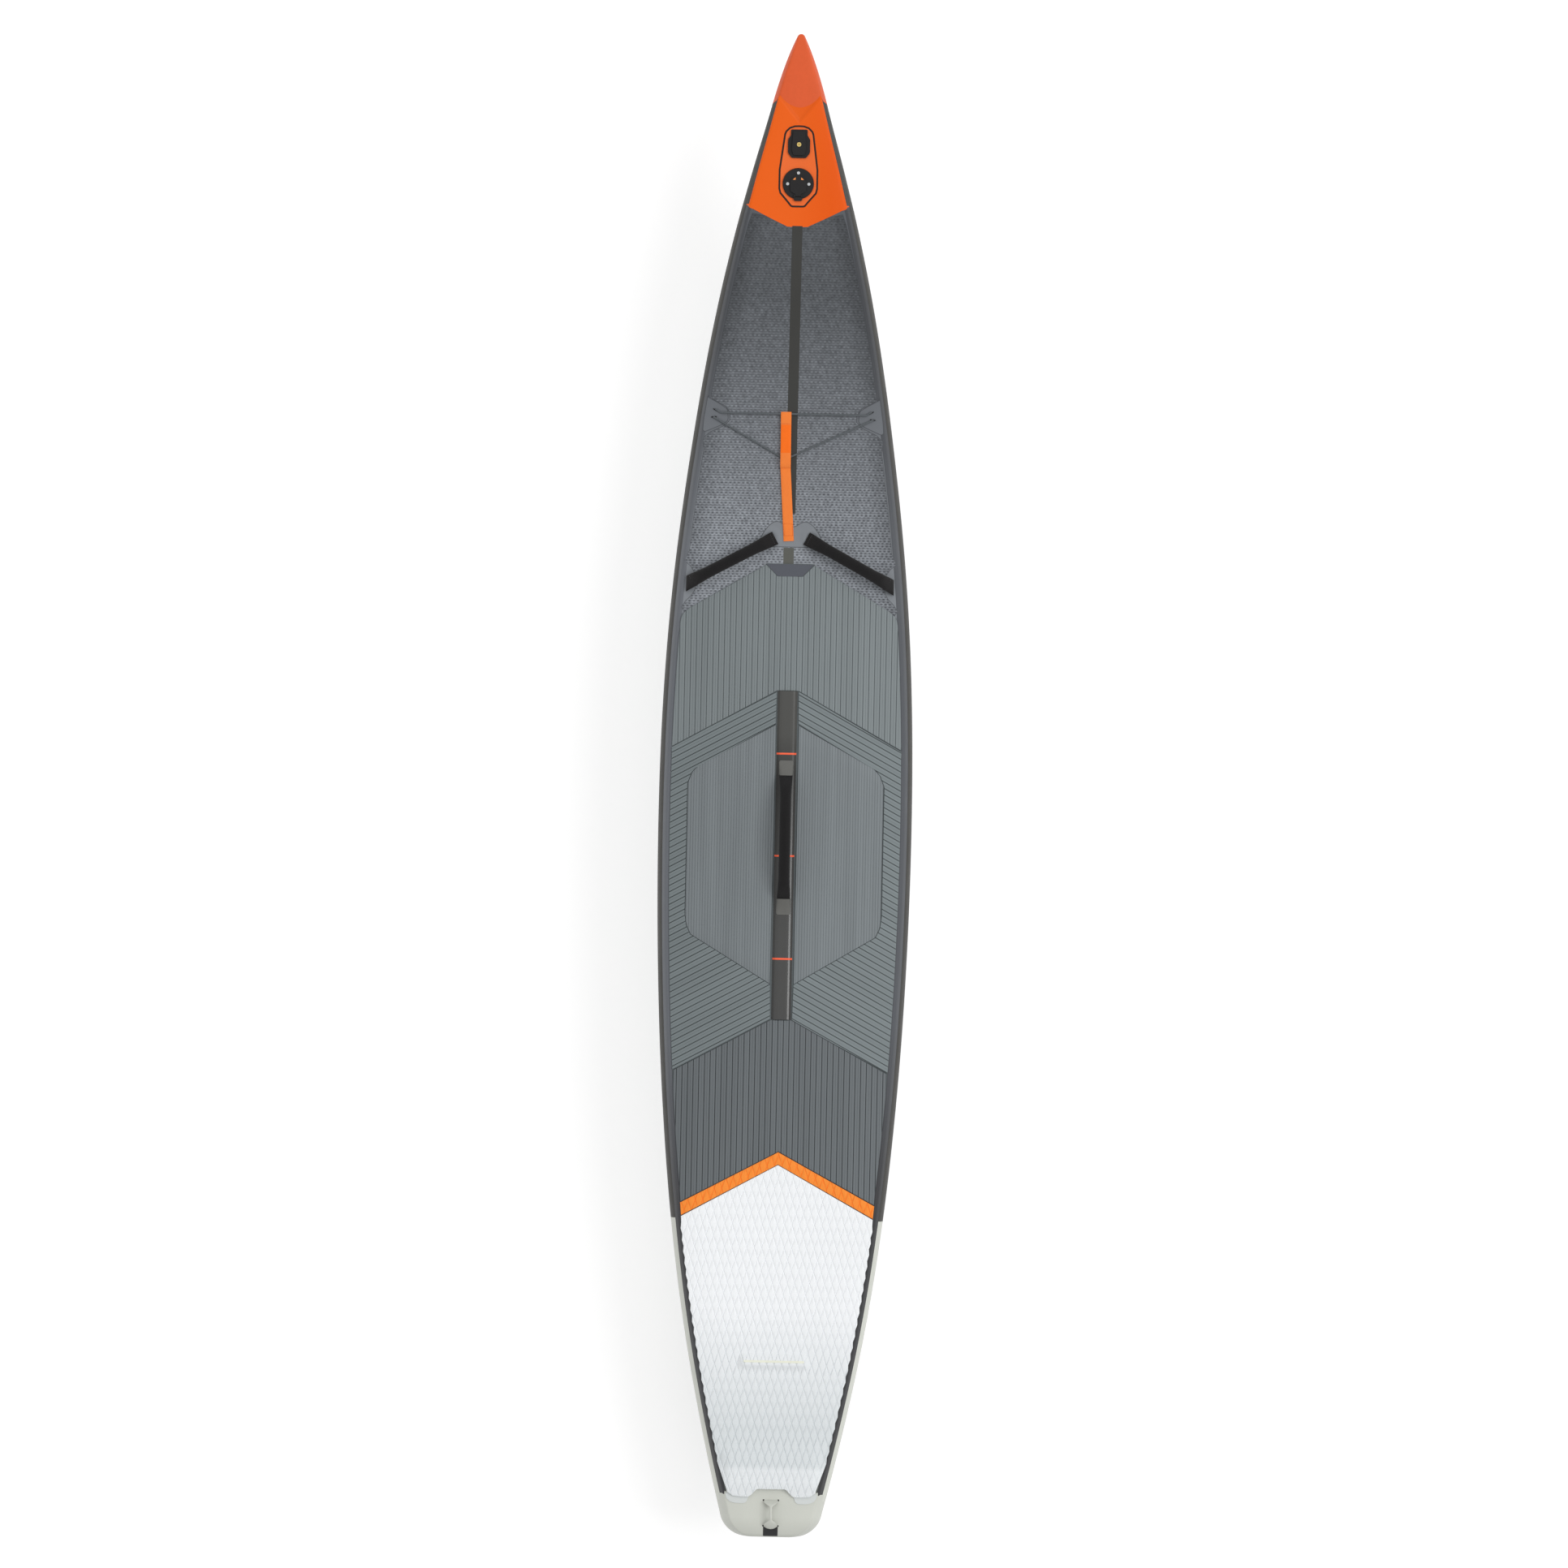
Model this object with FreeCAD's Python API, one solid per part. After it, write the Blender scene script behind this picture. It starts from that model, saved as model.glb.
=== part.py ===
"""Inflatable racing stand up paddleboard, 12 ft 6 in by 25 in.

Frame: origin on the flat bottom at mid-length, +X to the nose, +Y to port, +Z up. Millimetres.
"""
import FreeCAD, Part
import math
import os

Vector = FreeCAD.Vector
UP = Vector(0, 0, 1)

# Hull
LENGTH = 3810.0
TAIL_X = -LENGTH / 2
NOSE_X = LENGTH / 2
THICKNESS = 150.0
SIDE_BULGE = 24.0          # how far the inflated side wall stands out from the deck edge
TAIL_CORNER = 50.0         # corner radius of the squared tail, seen from above
ROCKER_START = 650.0       # the bottom is flat aft of this
ROCKER_RISE = 135.0        # height of the bottom at the nose tip
ROCKER_POWER = 2.2
DECK_PARALLEL_END = 1150.0  # the deck follows the bottom up to here
DECK_LEVEL_START = 1440.0   # and is level forward of here
# Half-width of the outline at stations along the board
OUTLINE = [(-1905, 114), (-1650, 175.5), (-1350, 233.8), (-1000, 279.2), (-600, 308.6), (-110, 320.9),
           (400, 305), (850, 257), (1200, 200), (1480, 136.6), (1700, 76), (1806, 45), (1889, 13),
           (1905, 5.5)]

# Layers
SKIN = 1.2                 # deck and bottom face fabric
WALL = 1.4                 # structural side wall
TAPE = 1.0                 # outer tapes, patches and panels
GLUE = 0.05                # glue line between two layers
PAD = 5.0                  # EVA foam
THREAD_RADIUS = 1.0
RAIL_LOW = 0.155           # the rail tape covers this part of the board's height
RAIL_HIGH = 0.845

# Places along the board
RAIL_FRONT = 1735.0
RAIL_COLOUR_CHANGE = -1100.0
PANEL_REAR = 1415.0
CARGO_X = 948.0
CARGO_V_X = 833.0
STRINGER_REAR = 560.5
STRINGER_HALF = 13.0
PAD_INSET = 28.0           # pad edge to board outline
TAPE_INSET = PAD_INSET - 0.5  # the edge tapes stop just short of the pad
CARBON_FRONT = 240.0
CARBON_REAR = -593.0
CARBON_HALF = 25.0
CARBON_THICK = 8.0
CHEVRON_APEX = -928.0
CHEVRON_SLOPE = 133.0 / 246.0  # how far the chevron runs aft for each step outward
CHEVRON_DROP = 33.0        # lengthwise size of the orange chevron band
TAIL_PAD_REAR = -1796.0
RIDGE_X = -1459.5          # middle of the cross ridge on the tail pad
RIDGE_HEIGHT = 9.0
RIDGE_STRIP_HALF = 3.5
RIDGE_STRIP_REACH = 80.0
TAIL_PIECE_FRONT = TAIL_X + 2 * TAIL_CORNER

# Fittings on the nose
VALVE_X = 1525.0
VALVE_BORE = 20.2          # hole for the valve's tube
FLANGE_RADIUS = 39.5
LID_RADIUS = 20.5
MOUNT_X = 1624.0

# Fin
FIN_BOX_X = -1500.0
FIN_DEPTH = 229.0
BOX_LENGTH = 300.0
BOX_DEPTH = 24.0
BOX_WIDTH = 27.0
SLOT_LENGTH = 266.0
SLOT_WIDTH = 9.4
GROOVE_WIDTH = 15.0

# Heights and distances that are clear of the board, for cutting solids
FAR = 2500.0
BESIDE = 400.0
BELOW = -200.0
ABOVE = 400.0


# ---------------------------------------------------------------- basic solids

def box(x0, x1, y0, y1, z0, z1):
    return Part.makeBox(x1 - x0, y1 - y0, z1 - z0, Vector(x0, y0, z0))


def cylinder(radius, z0, z1, x=0.0, y=0.0):
    return Part.makeCylinder(radius, z1 - z0, Vector(x, y, z0))


def ring(outer, inner, z0, z1, x=0.0, y=0.0):
    return cylinder(outer, z0, z1, x, y).cut(cylinder(inner, z0 - 1, z1 + 1, x, y))


def rounded_wire(points, z=0.0):
    """Closed outline; a point may carry a third value, its corner radius."""
    count = len(points)
    edges = []
    starts = []
    ends = []
    for i, point in enumerate(points):
        here = Vector(point[0], point[1], z)
        before = Vector(points[i - 1][0], points[i - 1][1], z)
        after = Vector(points[(i + 1) % count][0], points[(i + 1) % count][1], z)
        radius = point[2] if len(point) > 2 else 0.0
        to_before = (before - here).normalize()
        to_after = (after - here).normalize()
        if radius <= 0:
            starts.append(here)
            ends.append(here)
            continue
        half = to_before.getAngle(to_after) / 2
        back = radius / math.tan(half)
        centre = here + (to_before + to_after).normalize() * (radius / math.sin(half))
        first = here + to_before * back
        last = here + to_after * back
        middle = centre + (here - centre).normalize() * radius
        edges.append(Part.Arc(first, middle, last).toShape())
        starts.append(first)
        ends.append(last)
    for i in range(count):
        if ends[i - 1].distanceToPoint(starts[i]) > 1e-6:
            edges.append(Part.makeLine(ends[i - 1], starts[i]))
    return Part.Wire(Part.__sortEdges__(edges))


def prism(points, z0, z1):
    """Upright solid over a rounded outline."""
    return Part.Face(rounded_wire(points, z0)).extrude(Vector(0, 0, z1 - z0))


def mirrored(points):
    """Closes an outline given on the port side with its mirror image."""
    other = [(p[0], -p[1]) + tuple(p[2:]) for p in reversed(points) if abs(p[1]) > 1e-6]
    return list(points) + other


def flip(shape):
    """The same solid on the other side of the board."""
    return shape.mirror(Vector(0, 0, 0), Vector(0, 1, 0))


def placed(shape, x, y, z, turn_deg=0.0):
    copy = shape.copy()
    copy.rotate(Vector(0, 0, 0), UP, turn_deg)
    copy.translate(Vector(x, y, z))
    return copy


# ---------------------------------------------------------------- hull surfaces

def bottom_z(x):
    if x <= ROCKER_START:
        return 0.0
    share = (x - ROCKER_START) / (NOSE_X - ROCKER_START)
    return ROCKER_RISE * share ** ROCKER_POWER


def deck_z(x):
    if x <= DECK_PARALLEL_END:
        return THICKNESS + bottom_z(x)
    share = (DECK_PARALLEL_END - ROCKER_START) / (NOSE_X - ROCKER_START)
    slope = ROCKER_RISE * ROCKER_POWER * share ** (ROCKER_POWER - 1) / (NOSE_X - ROCKER_START)
    run = min(x, DECK_LEVEL_START) - DECK_PARALLEL_END
    fade = run - run * run / (2 * (DECK_LEVEL_START - DECK_PARALLEL_END))
    return THICKNESS + bottom_z(DECK_PARALLEL_END) + slope * fade


NOSE_DECK = deck_z(NOSE_X)


def outline_curve():
    curve = Part.BSplineCurve()
    curve.interpolate([Vector(x, y, 0) for x, y in OUTLINE])
    return curve


CURVE = outline_curve()


def half_width(x):
    """Half-width of the board's outline, by bisection along the outline curve."""
    low = CURVE.FirstParameter
    high = CURVE.LastParameter
    for _ in range(40):
        middle = (low + high) / 2
        if CURVE.value(middle).x < x:
            low = middle
        else:
            high = middle
    return CURVE.value((low + high) / 2).y


def long_edge(level, offset):
    """Side-view edges from tail to nose; level 0 is the bottom and 1 the deck."""
    def point(x):
        z = bottom_z(x) + level * (deck_z(x) - bottom_z(x)) + offset
        return Vector(x, 0, z)
    edges = [Part.makeLine(point(TAIL_X), point(ROCKER_START))]
    for start, end in ((ROCKER_START, DECK_LEVEL_START), (DECK_LEVEL_START, NOSE_X)):
        curve = Part.BSplineCurve()
        curve.interpolate([point(start + (end - start) * k / 8) for k in range(9)])
        edges.append(curve.toShape())
    return edges, point(TAIL_X), point(NOSE_X)


def layer(low, low_offset, high, high_offset):
    """Slice of the board between two levels, right across the beam."""
    under, a, b = long_edge(low, low_offset)
    over, c, d = long_edge(high, high_offset)
    edges = under + over + [Part.makeLine(a, c), Part.makeLine(b, d)]
    face = Part.Face(Part.Wire(Part.__sortEdges__(edges)))
    solid = face.extrude(Vector(0, 2 * FAR, 0))
    solid.translate(Vector(0, -FAR, 0))
    return solid


def section(x, inset):
    """Cross-section whose sides bulge as arcs and run past the deck and the bottom."""
    half = half_width(x) - inset
    middle = (deck_z(x) + bottom_z(x)) / 2
    rise = (deck_z(x) - bottom_z(x)) / 2
    bulge = min(SIDE_BULGE * 2 * rise / THICKNESS, 0.3 * half)
    reach = rise * 1.12
    radius = (rise * rise + bulge * bulge) / (2 * bulge)
    drop = radius - math.sqrt(radius * radius - reach * reach)
    top = Vector(x, half - drop, middle + reach)
    low = Vector(x, half - drop, middle - reach)
    side = Vector(x, half, middle)
    port = Part.Arc(low, side, top).toShape()
    far_top = Vector(x, drop - half, middle + reach)
    far_low = Vector(x, drop - half, middle - reach)
    far_side = Vector(x, -half, middle)
    starboard = Part.Arc(far_top, far_side, far_low).toShape()
    return Part.Wire([port, Part.makeLine(top, far_top), starboard, Part.makeLine(far_low, low)])


def side_form(inset):
    """Solid whose sides are the board's bulging sides, moved inward by inset."""
    stations = [TAIL_X, -1760, -1600, -1400, -1200, -1000, -750, -500, -250, 0, 250, 450, 650, 800, 950,
                1100, 1250, 1380, 1500, 1600, 1690, 1760, 1820, 1870, NOSE_X]
    return Part.makeLoft([section(x, inset) for x in stations], True, False)


def tail_form(inset):
    """Upright prism that squares the tail off with rounded corners and stops at the nose."""
    tail = TAIL_X + inset
    half = half_width(TAIL_X) - inset
    flare = half + 500.0
    return prism(mirrored([(NOSE_X - inset, FAR), (TAIL_X + 700.0, FAR), (TAIL_X + 699.0, flare),
                           (tail, half, TAIL_CORNER - inset)]), BELOW, ABOVE)


OUTER = side_form(0.0).common(tail_form(0.0))
MIDDLE = side_form(TAPE + GLUE).common(tail_form(TAPE + GLUE))
INNER = side_form(TAPE + GLUE + WALL).common(tail_form(TAPE + GLUE + WALL))


def inset_form(inset, z0, z1):
    """Upright prism over the board's outline moved inward by inset."""
    xs = [TAIL_X + inset + (NOSE_X - 150 - TAIL_X - inset) * k / 16 for k in range(17)]
    curve = Part.BSplineCurve()
    curve.interpolate([Vector(x, half_width(x) - inset, z0) for x in xs])
    port = curve.toShape()
    starboard = flip(port)
    rear = Part.makeLine(port.Vertexes[0].Point, starboard.Vertexes[0].Point)
    front = Part.makeLine(port.Vertexes[-1].Point, starboard.Vertexes[-1].Point)
    wire = Part.Wire(Part.__sortEdges__([port, starboard, rear, front]))
    return Part.Face(wire).extrude(Vector(0, 0, z1 - z0))


def on_deck(outline, low, high):
    """Layer that lies on the deck inside an outline, from low to high above the deck face."""
    return layer(1, low, 1, high).common(prism(outline, BELOW, ABOVE))


# ---------------------------------------------------------------- drop-stitch body

def valve_hole():
    return cylinder(VALVE_BORE, 0, ABOVE, VALVE_X)


def deck_skin():
    return MIDDLE.common(layer(1, -SKIN, 1, 0)).cut(valve_hole())


def bottom_skin():
    return MIDDLE.common(layer(0, 0, 0, SKIN))


def side_wall():
    walls = MIDDLE.common(layer(0, SKIN + GLUE, 1, -SKIN - GLUE)).cut(INNER)
    return port_part(walls, -FAR, FAR)


def drop_stitch_threads():
    """A sparse grid of the threads that hold the deck and the bottom parallel."""
    pitch_x = 150.0
    pitch_y = 90.0
    threads = []
    for i in range(-12, 12):
        for j in range(-3, 4):
            x = i * pitch_x
            y = j * pitch_y
            if abs(y) < half_width(x) - 50 and math.hypot(x - VALVE_X, y) > 60:
                low = bottom_z(x) + SKIN + 1.0
                high = deck_z(x) - SKIN - 1.0
                threads.append(cylinder(THREAD_RADIUS, low, high, x, y))
    return Part.makeCompound(threads)


# ---------------------------------------------------------------- outer tapes and panels

NOSE_CUT = [(NOSE_X + 50, 200), (1742, 200), (1742, 58), (1716, 30, 20), (1694, 0)]


def nose_outline(gap=0.0):
    return mirrored([(x - gap, y) + tuple(r) for x, y, *r in NOSE_CUT])


def rail_band():
    return OUTER.cut(MIDDLE).common(layer(RAIL_LOW, 0, RAIL_HIGH, 0))


def port_part(shape, x0, x1):
    return shape.common(box(x0, x1, GLUE, FAR, BELOW, ABOVE))


def rail_tape(rails):
    return port_part(rails, RAIL_COLOUR_CHANGE, RAIL_FRONT)


def tail_rail(rails):
    return port_part(rails, TAIL_PIECE_FRONT, RAIL_COLOUR_CHANGE - GLUE)


def edge_cover():
    """Thin shell from the top of the rail tape up over the whole deck."""
    outside = OUTER.common(layer(RAIL_HIGH, GLUE, 1, TAPE))
    inside = MIDDLE.common(layer(RAIL_HIGH, GLUE - 5, 1, GLUE))
    return outside.cut(inside)


def wrap_cover():
    """Thin shell over the deck, the side walls and the bottom."""
    outside = OUTER.common(layer(0, -TAPE, 1, TAPE))
    inside = MIDDLE.common(layer(0, -GLUE, 1, GLUE))
    return outside.cut(inside)


def deck_edge_band(edge):
    """Tape over the seam between the deck face and the side wall."""
    strip = edge.cut(inset_form(TAPE_INSET, BELOW, ABOVE)).cut(prism(panel_outline(), BELOW, ABOVE))
    return port_part(strip, TAIL_PIECE_FRONT, PANEL_REAR + 40)


def bottom_edge_band():
    """Tape over the seam between the bottom face and the side wall."""
    shell = OUTER.common(layer(0, -TAPE, RAIL_LOW, -GLUE)).cut(MIDDLE.common(layer(0, -GLUE, 1, 0)))
    strip = shell.cut(inset_form(TAPE_INSET, BELOW, ABOVE)).cut(prism(nose_outline(0.5), BELOW, ABOVE))
    return port_part(strip, TAIL_PIECE_FRONT, RAIL_FRONT - 5)


def panel_outline():
    return mirrored([(RAIL_FRONT + 5, 200), (1466 + 20, 200), (1466, 131), (1460, 117), (1418, 28, 8),
                     (PANEL_REAR, 20)])


def nose_panel(edge):
    panel = edge.common(prism(panel_outline(), BELOW, ABOVE)).cut(prism(nose_outline(0.5), BELOW, ABOVE))
    return panel.cut(valve_hole())


def nose_cap():
    return wrap_cover().common(prism(nose_outline(), BELOW, ABOVE))


def tail_piece():
    """Light moulded piece that wraps the transom and covers the deck behind the tail pad."""
    return wrap_cover().common(box(TAIL_X - 10, TAIL_PIECE_FRONT - GLUE, -FAR, FAR, BELOW, ABOVE))


def stringer_strip():
    front = PANEL_REAR - 0.5
    strip = on_deck([(front, -STRINGER_HALF), (front, STRINGER_HALF), (STRINGER_REAR, STRINGER_HALF),
                     (STRINGER_REAR, -STRINGER_HALF)], 0.1, 1.0)
    return strip.cut(prism(patch_outline(0.3), BELOW, ABOVE))


def patch_outline(gap=0.0):
    """Smooth patch with two humps that carries the strap foot and the inner handle ends."""
    return mirrored([(652 + gap, 14, 4), (664 + gap, 30, 8), (664 + gap, 50, 10), (640, 76 + gap, 10),
                     (606 - gap, 66, 12), (603 - gap, 0)])


def cargo_patch():
    return on_deck(patch_outline(), 0.1, 1.0)


# ---------------------------------------------------------------- deck pad

def pad_layer():
    return inset_form(PAD_INSET, THICKNESS + 0.1, THICKNESS + PAD)


def badge_outline(gap=0.0):
    return mirrored([(560 + gap, 60 + gap), (531 - gap, 31 + gap)])


def deck_pad():
    rear = [(CHEVRON_APEX - CHEVRON_SLOPE * BESIDE, BESIDE), (CHEVRON_APEX + 0.3, 0)]
    outline = mirrored([(560, 60), (434, 272), (380, BESIDE)] + rear)
    pad = pad_layer().common(prism(outline, BELOW, ABOVE))
    pad = pad.cut(prism(badge_outline(0.3), BELOW, ABOVE))
    return pad.cut(box(CARBON_REAR - 0.5, CARBON_FRONT + 0.5, -CARBON_HALF - 0.3, CARBON_HALF + 0.3,
                       BELOW, ABOVE))


def badge():
    return prism(badge_outline(), THICKNESS + 0.1, THICKNESS + 3.5)


def carbon_strip():
    top = THICKNESS + CARBON_THICK
    strip = box(CARBON_REAR, CARBON_FRONT, -CARBON_HALF, CARBON_HALF, THICKNESS + 0.1, top)
    rim = [edge for edge in strip.Edges if edge.CenterOfMass.z > top - 0.1]
    return strip.makeChamfer(2.0, rim)


def strip_marks():
    """Three coloured lines across the carbon strip."""
    low = THICKNESS + CARBON_THICK + GLUE
    reach = CARBON_HALF - 2.2
    return Part.makeCompound([box(x - 2.5, x + 2.5, -reach, reach, low, low + 0.4)
                              for x in (81, -178, -439)])


def chevron_zone(front, rear):
    """Upright prism between two chevron lines, given by their distances aft of the apex."""
    fall = CHEVRON_SLOPE * BESIDE
    return prism(mirrored([(CHEVRON_APEX - front, 0), (CHEVRON_APEX - front - fall, BESIDE),
                           (CHEVRON_APEX - rear - fall, BESIDE), (CHEVRON_APEX - rear, 0)]), BELOW, ABOVE)


def pad_chevron():
    return pad_layer().common(chevron_zone(0, CHEVRON_DROP))


def tail_pad():
    front = CHEVRON_APEX - CHEVRON_DROP - 0.3
    outline = mirrored([(front, 0), (front - CHEVRON_SLOPE * BESIDE, BESIDE), (TAIL_PAD_REAR, BESIDE),
                        (TAIL_PAD_REAR, 42), (-1781, 40), (-1781, 0)])
    return pad_layer().common(prism(outline, BELOW, ABOVE))


def kick_ridge():
    """Low cross bar on the tail pad that the rear foot finds."""
    profile = [(RIDGE_X + 22.5, 0), (RIDGE_X - 22.5, 0), (RIDGE_X - 14.5, RIDGE_HEIGHT, 6),
               (RIDGE_X + 14.5, RIDGE_HEIGHT, 6)]
    return cross_bar(profile, 88.0).cut(ridge_inlay(0.1, 1.0))


def kick_ridge_strip():
    return ridge_inlay(0.0, 0.3)


def cross_bar(profile, half):
    """Bar across the top of the tail pad; the profile is drawn in X and height above the pad."""
    face = Part.Face(rounded_wire(profile))
    face.rotate(Vector(0, 0, 0), Vector(1, 0, 0), 90)
    solid = face.extrude(Vector(0, 2 * half, 0))
    solid.translate(Vector(0, -half, THICKNESS + PAD + 0.1))
    return solid


def ridge_inlay(gap, proud):
    """Strip let into the ridge's top, larger by gap and standing proud of it."""
    top = THICKNESS + PAD + 0.1 + RIDGE_HEIGHT
    wide = RIDGE_STRIP_HALF + gap
    reach = RIDGE_STRIP_REACH + gap
    return box(RIDGE_X - wide, RIDGE_X + wide, -reach, reach, top - 2 - gap, top + proud)


def tail_kick():
    """Foam wedge at the back of the tail pad."""
    wedge = cross_bar([(-1640, 0.0), (-1776, 0.0), (-1776, 11), (-1764, 16, 4)], FAR)
    return wedge.common(inset_form(PAD_INSET + 12, BELOW, ABOVE))


# ---------------------------------------------------------------- handles and loops

def arch(span, rise, face, trim=0.0):
    """Sweeps a face along an arc over the X axis, cut by upright planes trim beyond the span."""
    radius = (span * span / 4 + rise * rise) / (2 * rise)
    centre = Vector(0, 0, rise - radius)
    angle = math.degrees(math.asin(min(1.0, (span / 2) / radius))) + 6
    start = face.copy()
    start.translate(Vector(0, 0, rise))
    start.rotate(centre, Vector(0, 1, 0), -angle)
    solid = start.revolve(centre, Vector(0, 1, 0), 2 * angle)
    return solid.common(box(-span / 2 - trim, span / 2 + trim, -100, 100, -60, 200))


def upright(face):
    """Turns a face drawn in XY so that it stands in the YZ plane."""
    copy = face.copy()
    copy.rotate(Vector(0, 0, 0), Vector(0, 1, 0), 90)
    return copy


def handle_sleeve(span, rise):
    outer = upright(Part.Face(Part.Wire(Part.makeCircle(SLEEVE_RADIUS))))
    bore = upright(strap_face(STRAP_THICK + 0.6, STRAP_ACROSS + 0.6))
    return arch(span, rise, outer).cut(arch(span, rise, bore, 4.0))


def handle_webbing(span, rise):
    return arch(span, rise, upright(strap_face(STRAP_THICK, STRAP_ACROSS)))


def strap_face(thick, wide):
    return Part.Face(rounded_wire([(-thick / 2, -wide / 2), (thick / 2, -wide / 2),
                                   (thick / 2, wide / 2), (-thick / 2, wide / 2)]))


def handle_tab(length, wide, base, tall):
    """Flared webbing end, flat at the far end and rising to the sleeve; the sleeve side is x = 0."""
    profile = [(0, 0), (length, 0), (length, base), (length * 0.55, base, length * 0.12), (0, tall, 1.5)]
    face = Part.Face(rounded_wire(profile))
    face.rotate(Vector(0, 0, 0), Vector(1, 0, 0), 90)
    solid = face.extrude(Vector(0, wide, 0))
    solid.translate(Vector(0, -wide / 2, 0))
    return solid


def tab_pair(span, length, wide, base, tall, gap=1.0):
    front = handle_tab(length, wide, base, tall)
    front.translate(Vector(span / 2 + gap, 0, 0))
    back = front.copy()
    back.rotate(Vector(0, 0, 0), UP, 180)
    return Part.makeCompound([front, back])


SLEEVE_RADIUS = 12.5
STRAP_THICK = 5.0           # the webbing inside a handle is folded double
STRAP_ACROSS = 20.0
SIDE_INNER = Vector(624, 46, 0)
SIDE_OUTER = Vector(514, 250, 0)
SIDE_CENTRE = (SIDE_INNER + SIDE_OUTER) * 0.5
SIDE_TURN = math.degrees(math.atan2(SIDE_OUTER.y - SIDE_INNER.y, SIDE_OUTER.x - SIDE_INNER.x))
TAB_LENGTH = 22.0
SIDE_SPAN = SIDE_INNER.distanceToPoint(SIDE_OUTER) - 2 * TAB_LENGTH
SIDE_RISE = 26.0
AXIS_HEIGHT = 17.0          # the sleeves turn about a line this far above their feet
SIDE_BASE = THICKNESS + 1.1
CENTRE_X = -129.5
CENTRE_SPAN = 293.0
CENTRE_BASE = THICKNESS + CARBON_THICK + 0.1
CENTRE_RISE = 34.0
LOOP_X = -1841.5
LOOP_SPAN = 43.0
LOOP_BASE = THICKNESS + TAPE + 0.1


def side_part(shape, lift):
    return placed(shape, SIDE_CENTRE.x, SIDE_CENTRE.y, SIDE_BASE + lift, SIDE_TURN)


def side_sleeve():
    return side_part(handle_sleeve(SIDE_SPAN, SIDE_RISE), AXIS_HEIGHT)


def side_webbing():
    return side_part(handle_webbing(SIDE_SPAN, SIDE_RISE), AXIS_HEIGHT)


def side_tabs():
    return side_part(tab_pair(SIDE_SPAN, TAB_LENGTH, 36, 3, 24), 0)


def centre_part(shape, lift):
    return placed(shape, CENTRE_X, 0, CENTRE_BASE + lift)


def centre_sleeve():
    return centre_part(handle_sleeve(CENTRE_SPAN, CENTRE_RISE), AXIS_HEIGHT)


def centre_webbing():
    return centre_part(handle_webbing(CENTRE_SPAN, CENTRE_RISE), AXIS_HEIGHT)


def centre_tabs():
    return centre_part(tab_pair(CENTRE_SPAN, 44, 37, 3, 24), 0)


def loop_part(shape, lift):
    return placed(shape, LOOP_X, 0, LOOP_BASE + lift)


def leash_loop():
    return loop_part(arch(LOOP_SPAN, 20, upright(strap_face(5, 10))), 7)


def leash_loop_tabs():
    return loop_part(tab_pair(LOOP_SPAN, 8, 39, 2.5, 9, 0.8), 0)


def leash_patch():
    return prism([(-1882, -18, 3), (-1899, -13, 4), (-1899, 13, 4), (-1882, 18, 3)],
                 LOOP_BASE, LOOP_BASE + 1.5)


# ---------------------------------------------------------------- cargo bungee

ANCHOR_Y = 198.0
CORD_RADIUS = 2.3
STRAP_Y = 17.0
STRAP_WIDE = 26.0


def cord_point(x, y, height=4.2):
    return Vector(x, y, deck_z(x) + height)


def cord_run(first, last):
    along = last - first
    run = Part.makeCylinder(CORD_RADIUS, along.Length, first, along)
    return run.fuse(Part.makeSphere(CORD_RADIUS, first))


def cargo_bungee():
    """Elastic cord: straight across the deck and back as a V through the strap's fold."""
    corners = [cord_point(CARGO_X, ANCHOR_Y - 6), cord_point(CARGO_X, 6 - ANCHOR_Y),
               cord_point(CARGO_V_X + 2, STRAP_Y - 13), cord_point(CARGO_V_X + 2, STRAP_Y + 13)]
    cord = cord_run(corners[-1], corners[0])
    for i in range(len(corners) - 1):
        cord = cord.fuse(cord_run(corners[i], corners[i + 1]))
    return cord


def bungee_anchor():
    """Patch with the raised tongue that holds a bend of the cord."""
    outline = [(905, 236), (930, 208, 10), (936, 190, 8), (962, 190, 10), (985, 222), (990, 232)]
    patch = on_deck(outline, 0.1, 1.0).common(inset_form(PAD_INSET, 0, 400))
    tongue = on_deck([(937, 196, 3), (957, 196, 3), (957, 214, 3), (937, 214, 3)], 0.9, 3.5)
    return patch.fuse(tongue)


def strap_stretch(x0, y0, x1, y1, height):
    """One flat run of the strap, from one place on the deck to another."""
    a = cord_point(x0, y0, height)
    b = cord_point(x1, y1, height)
    points = [Vector(a.x, a.y - STRAP_WIDE / 2, a.z), Vector(a.x, a.y + STRAP_WIDE / 2, a.z),
              Vector(b.x, b.y + STRAP_WIDE / 2, b.z), Vector(b.x, b.y - STRAP_WIDE / 2, b.z)]
    face = Part.Face(Part.makePolygon(points + points[:1]))
    return face.extrude(Vector(0, 0, 1.2))


def cargo_strap():
    """Webbing strap folded over the cord at both ends and sewn to the patch at its foot."""
    fold_x = 806.0
    fold_y = STRAP_Y - 3
    half = STRAP_WIDE / 2
    upper = strap_stretch(CARGO_X + 5, STRAP_Y + 1, fold_x, fold_y, 7.4)
    lower = strap_stretch(fold_x, fold_y, 660, 6, 1.6)
    foot = strap_stretch(660, 6, 622, 2, 1.3)
    riser = box(fold_x - 2, fold_x + 1, fold_y - half, fold_y + half, deck_z(fold_x) + 1.7,
                deck_z(fold_x) + 8.5)
    return upper.fuse(riser).fuse(lower).fuse(foot).removeSplitter()


# ---------------------------------------------------------------- nose fittings

PANEL_TOP = NOSE_DECK + TAPE
FITTING_BASE = PANEL_TOP + 1.7


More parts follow.
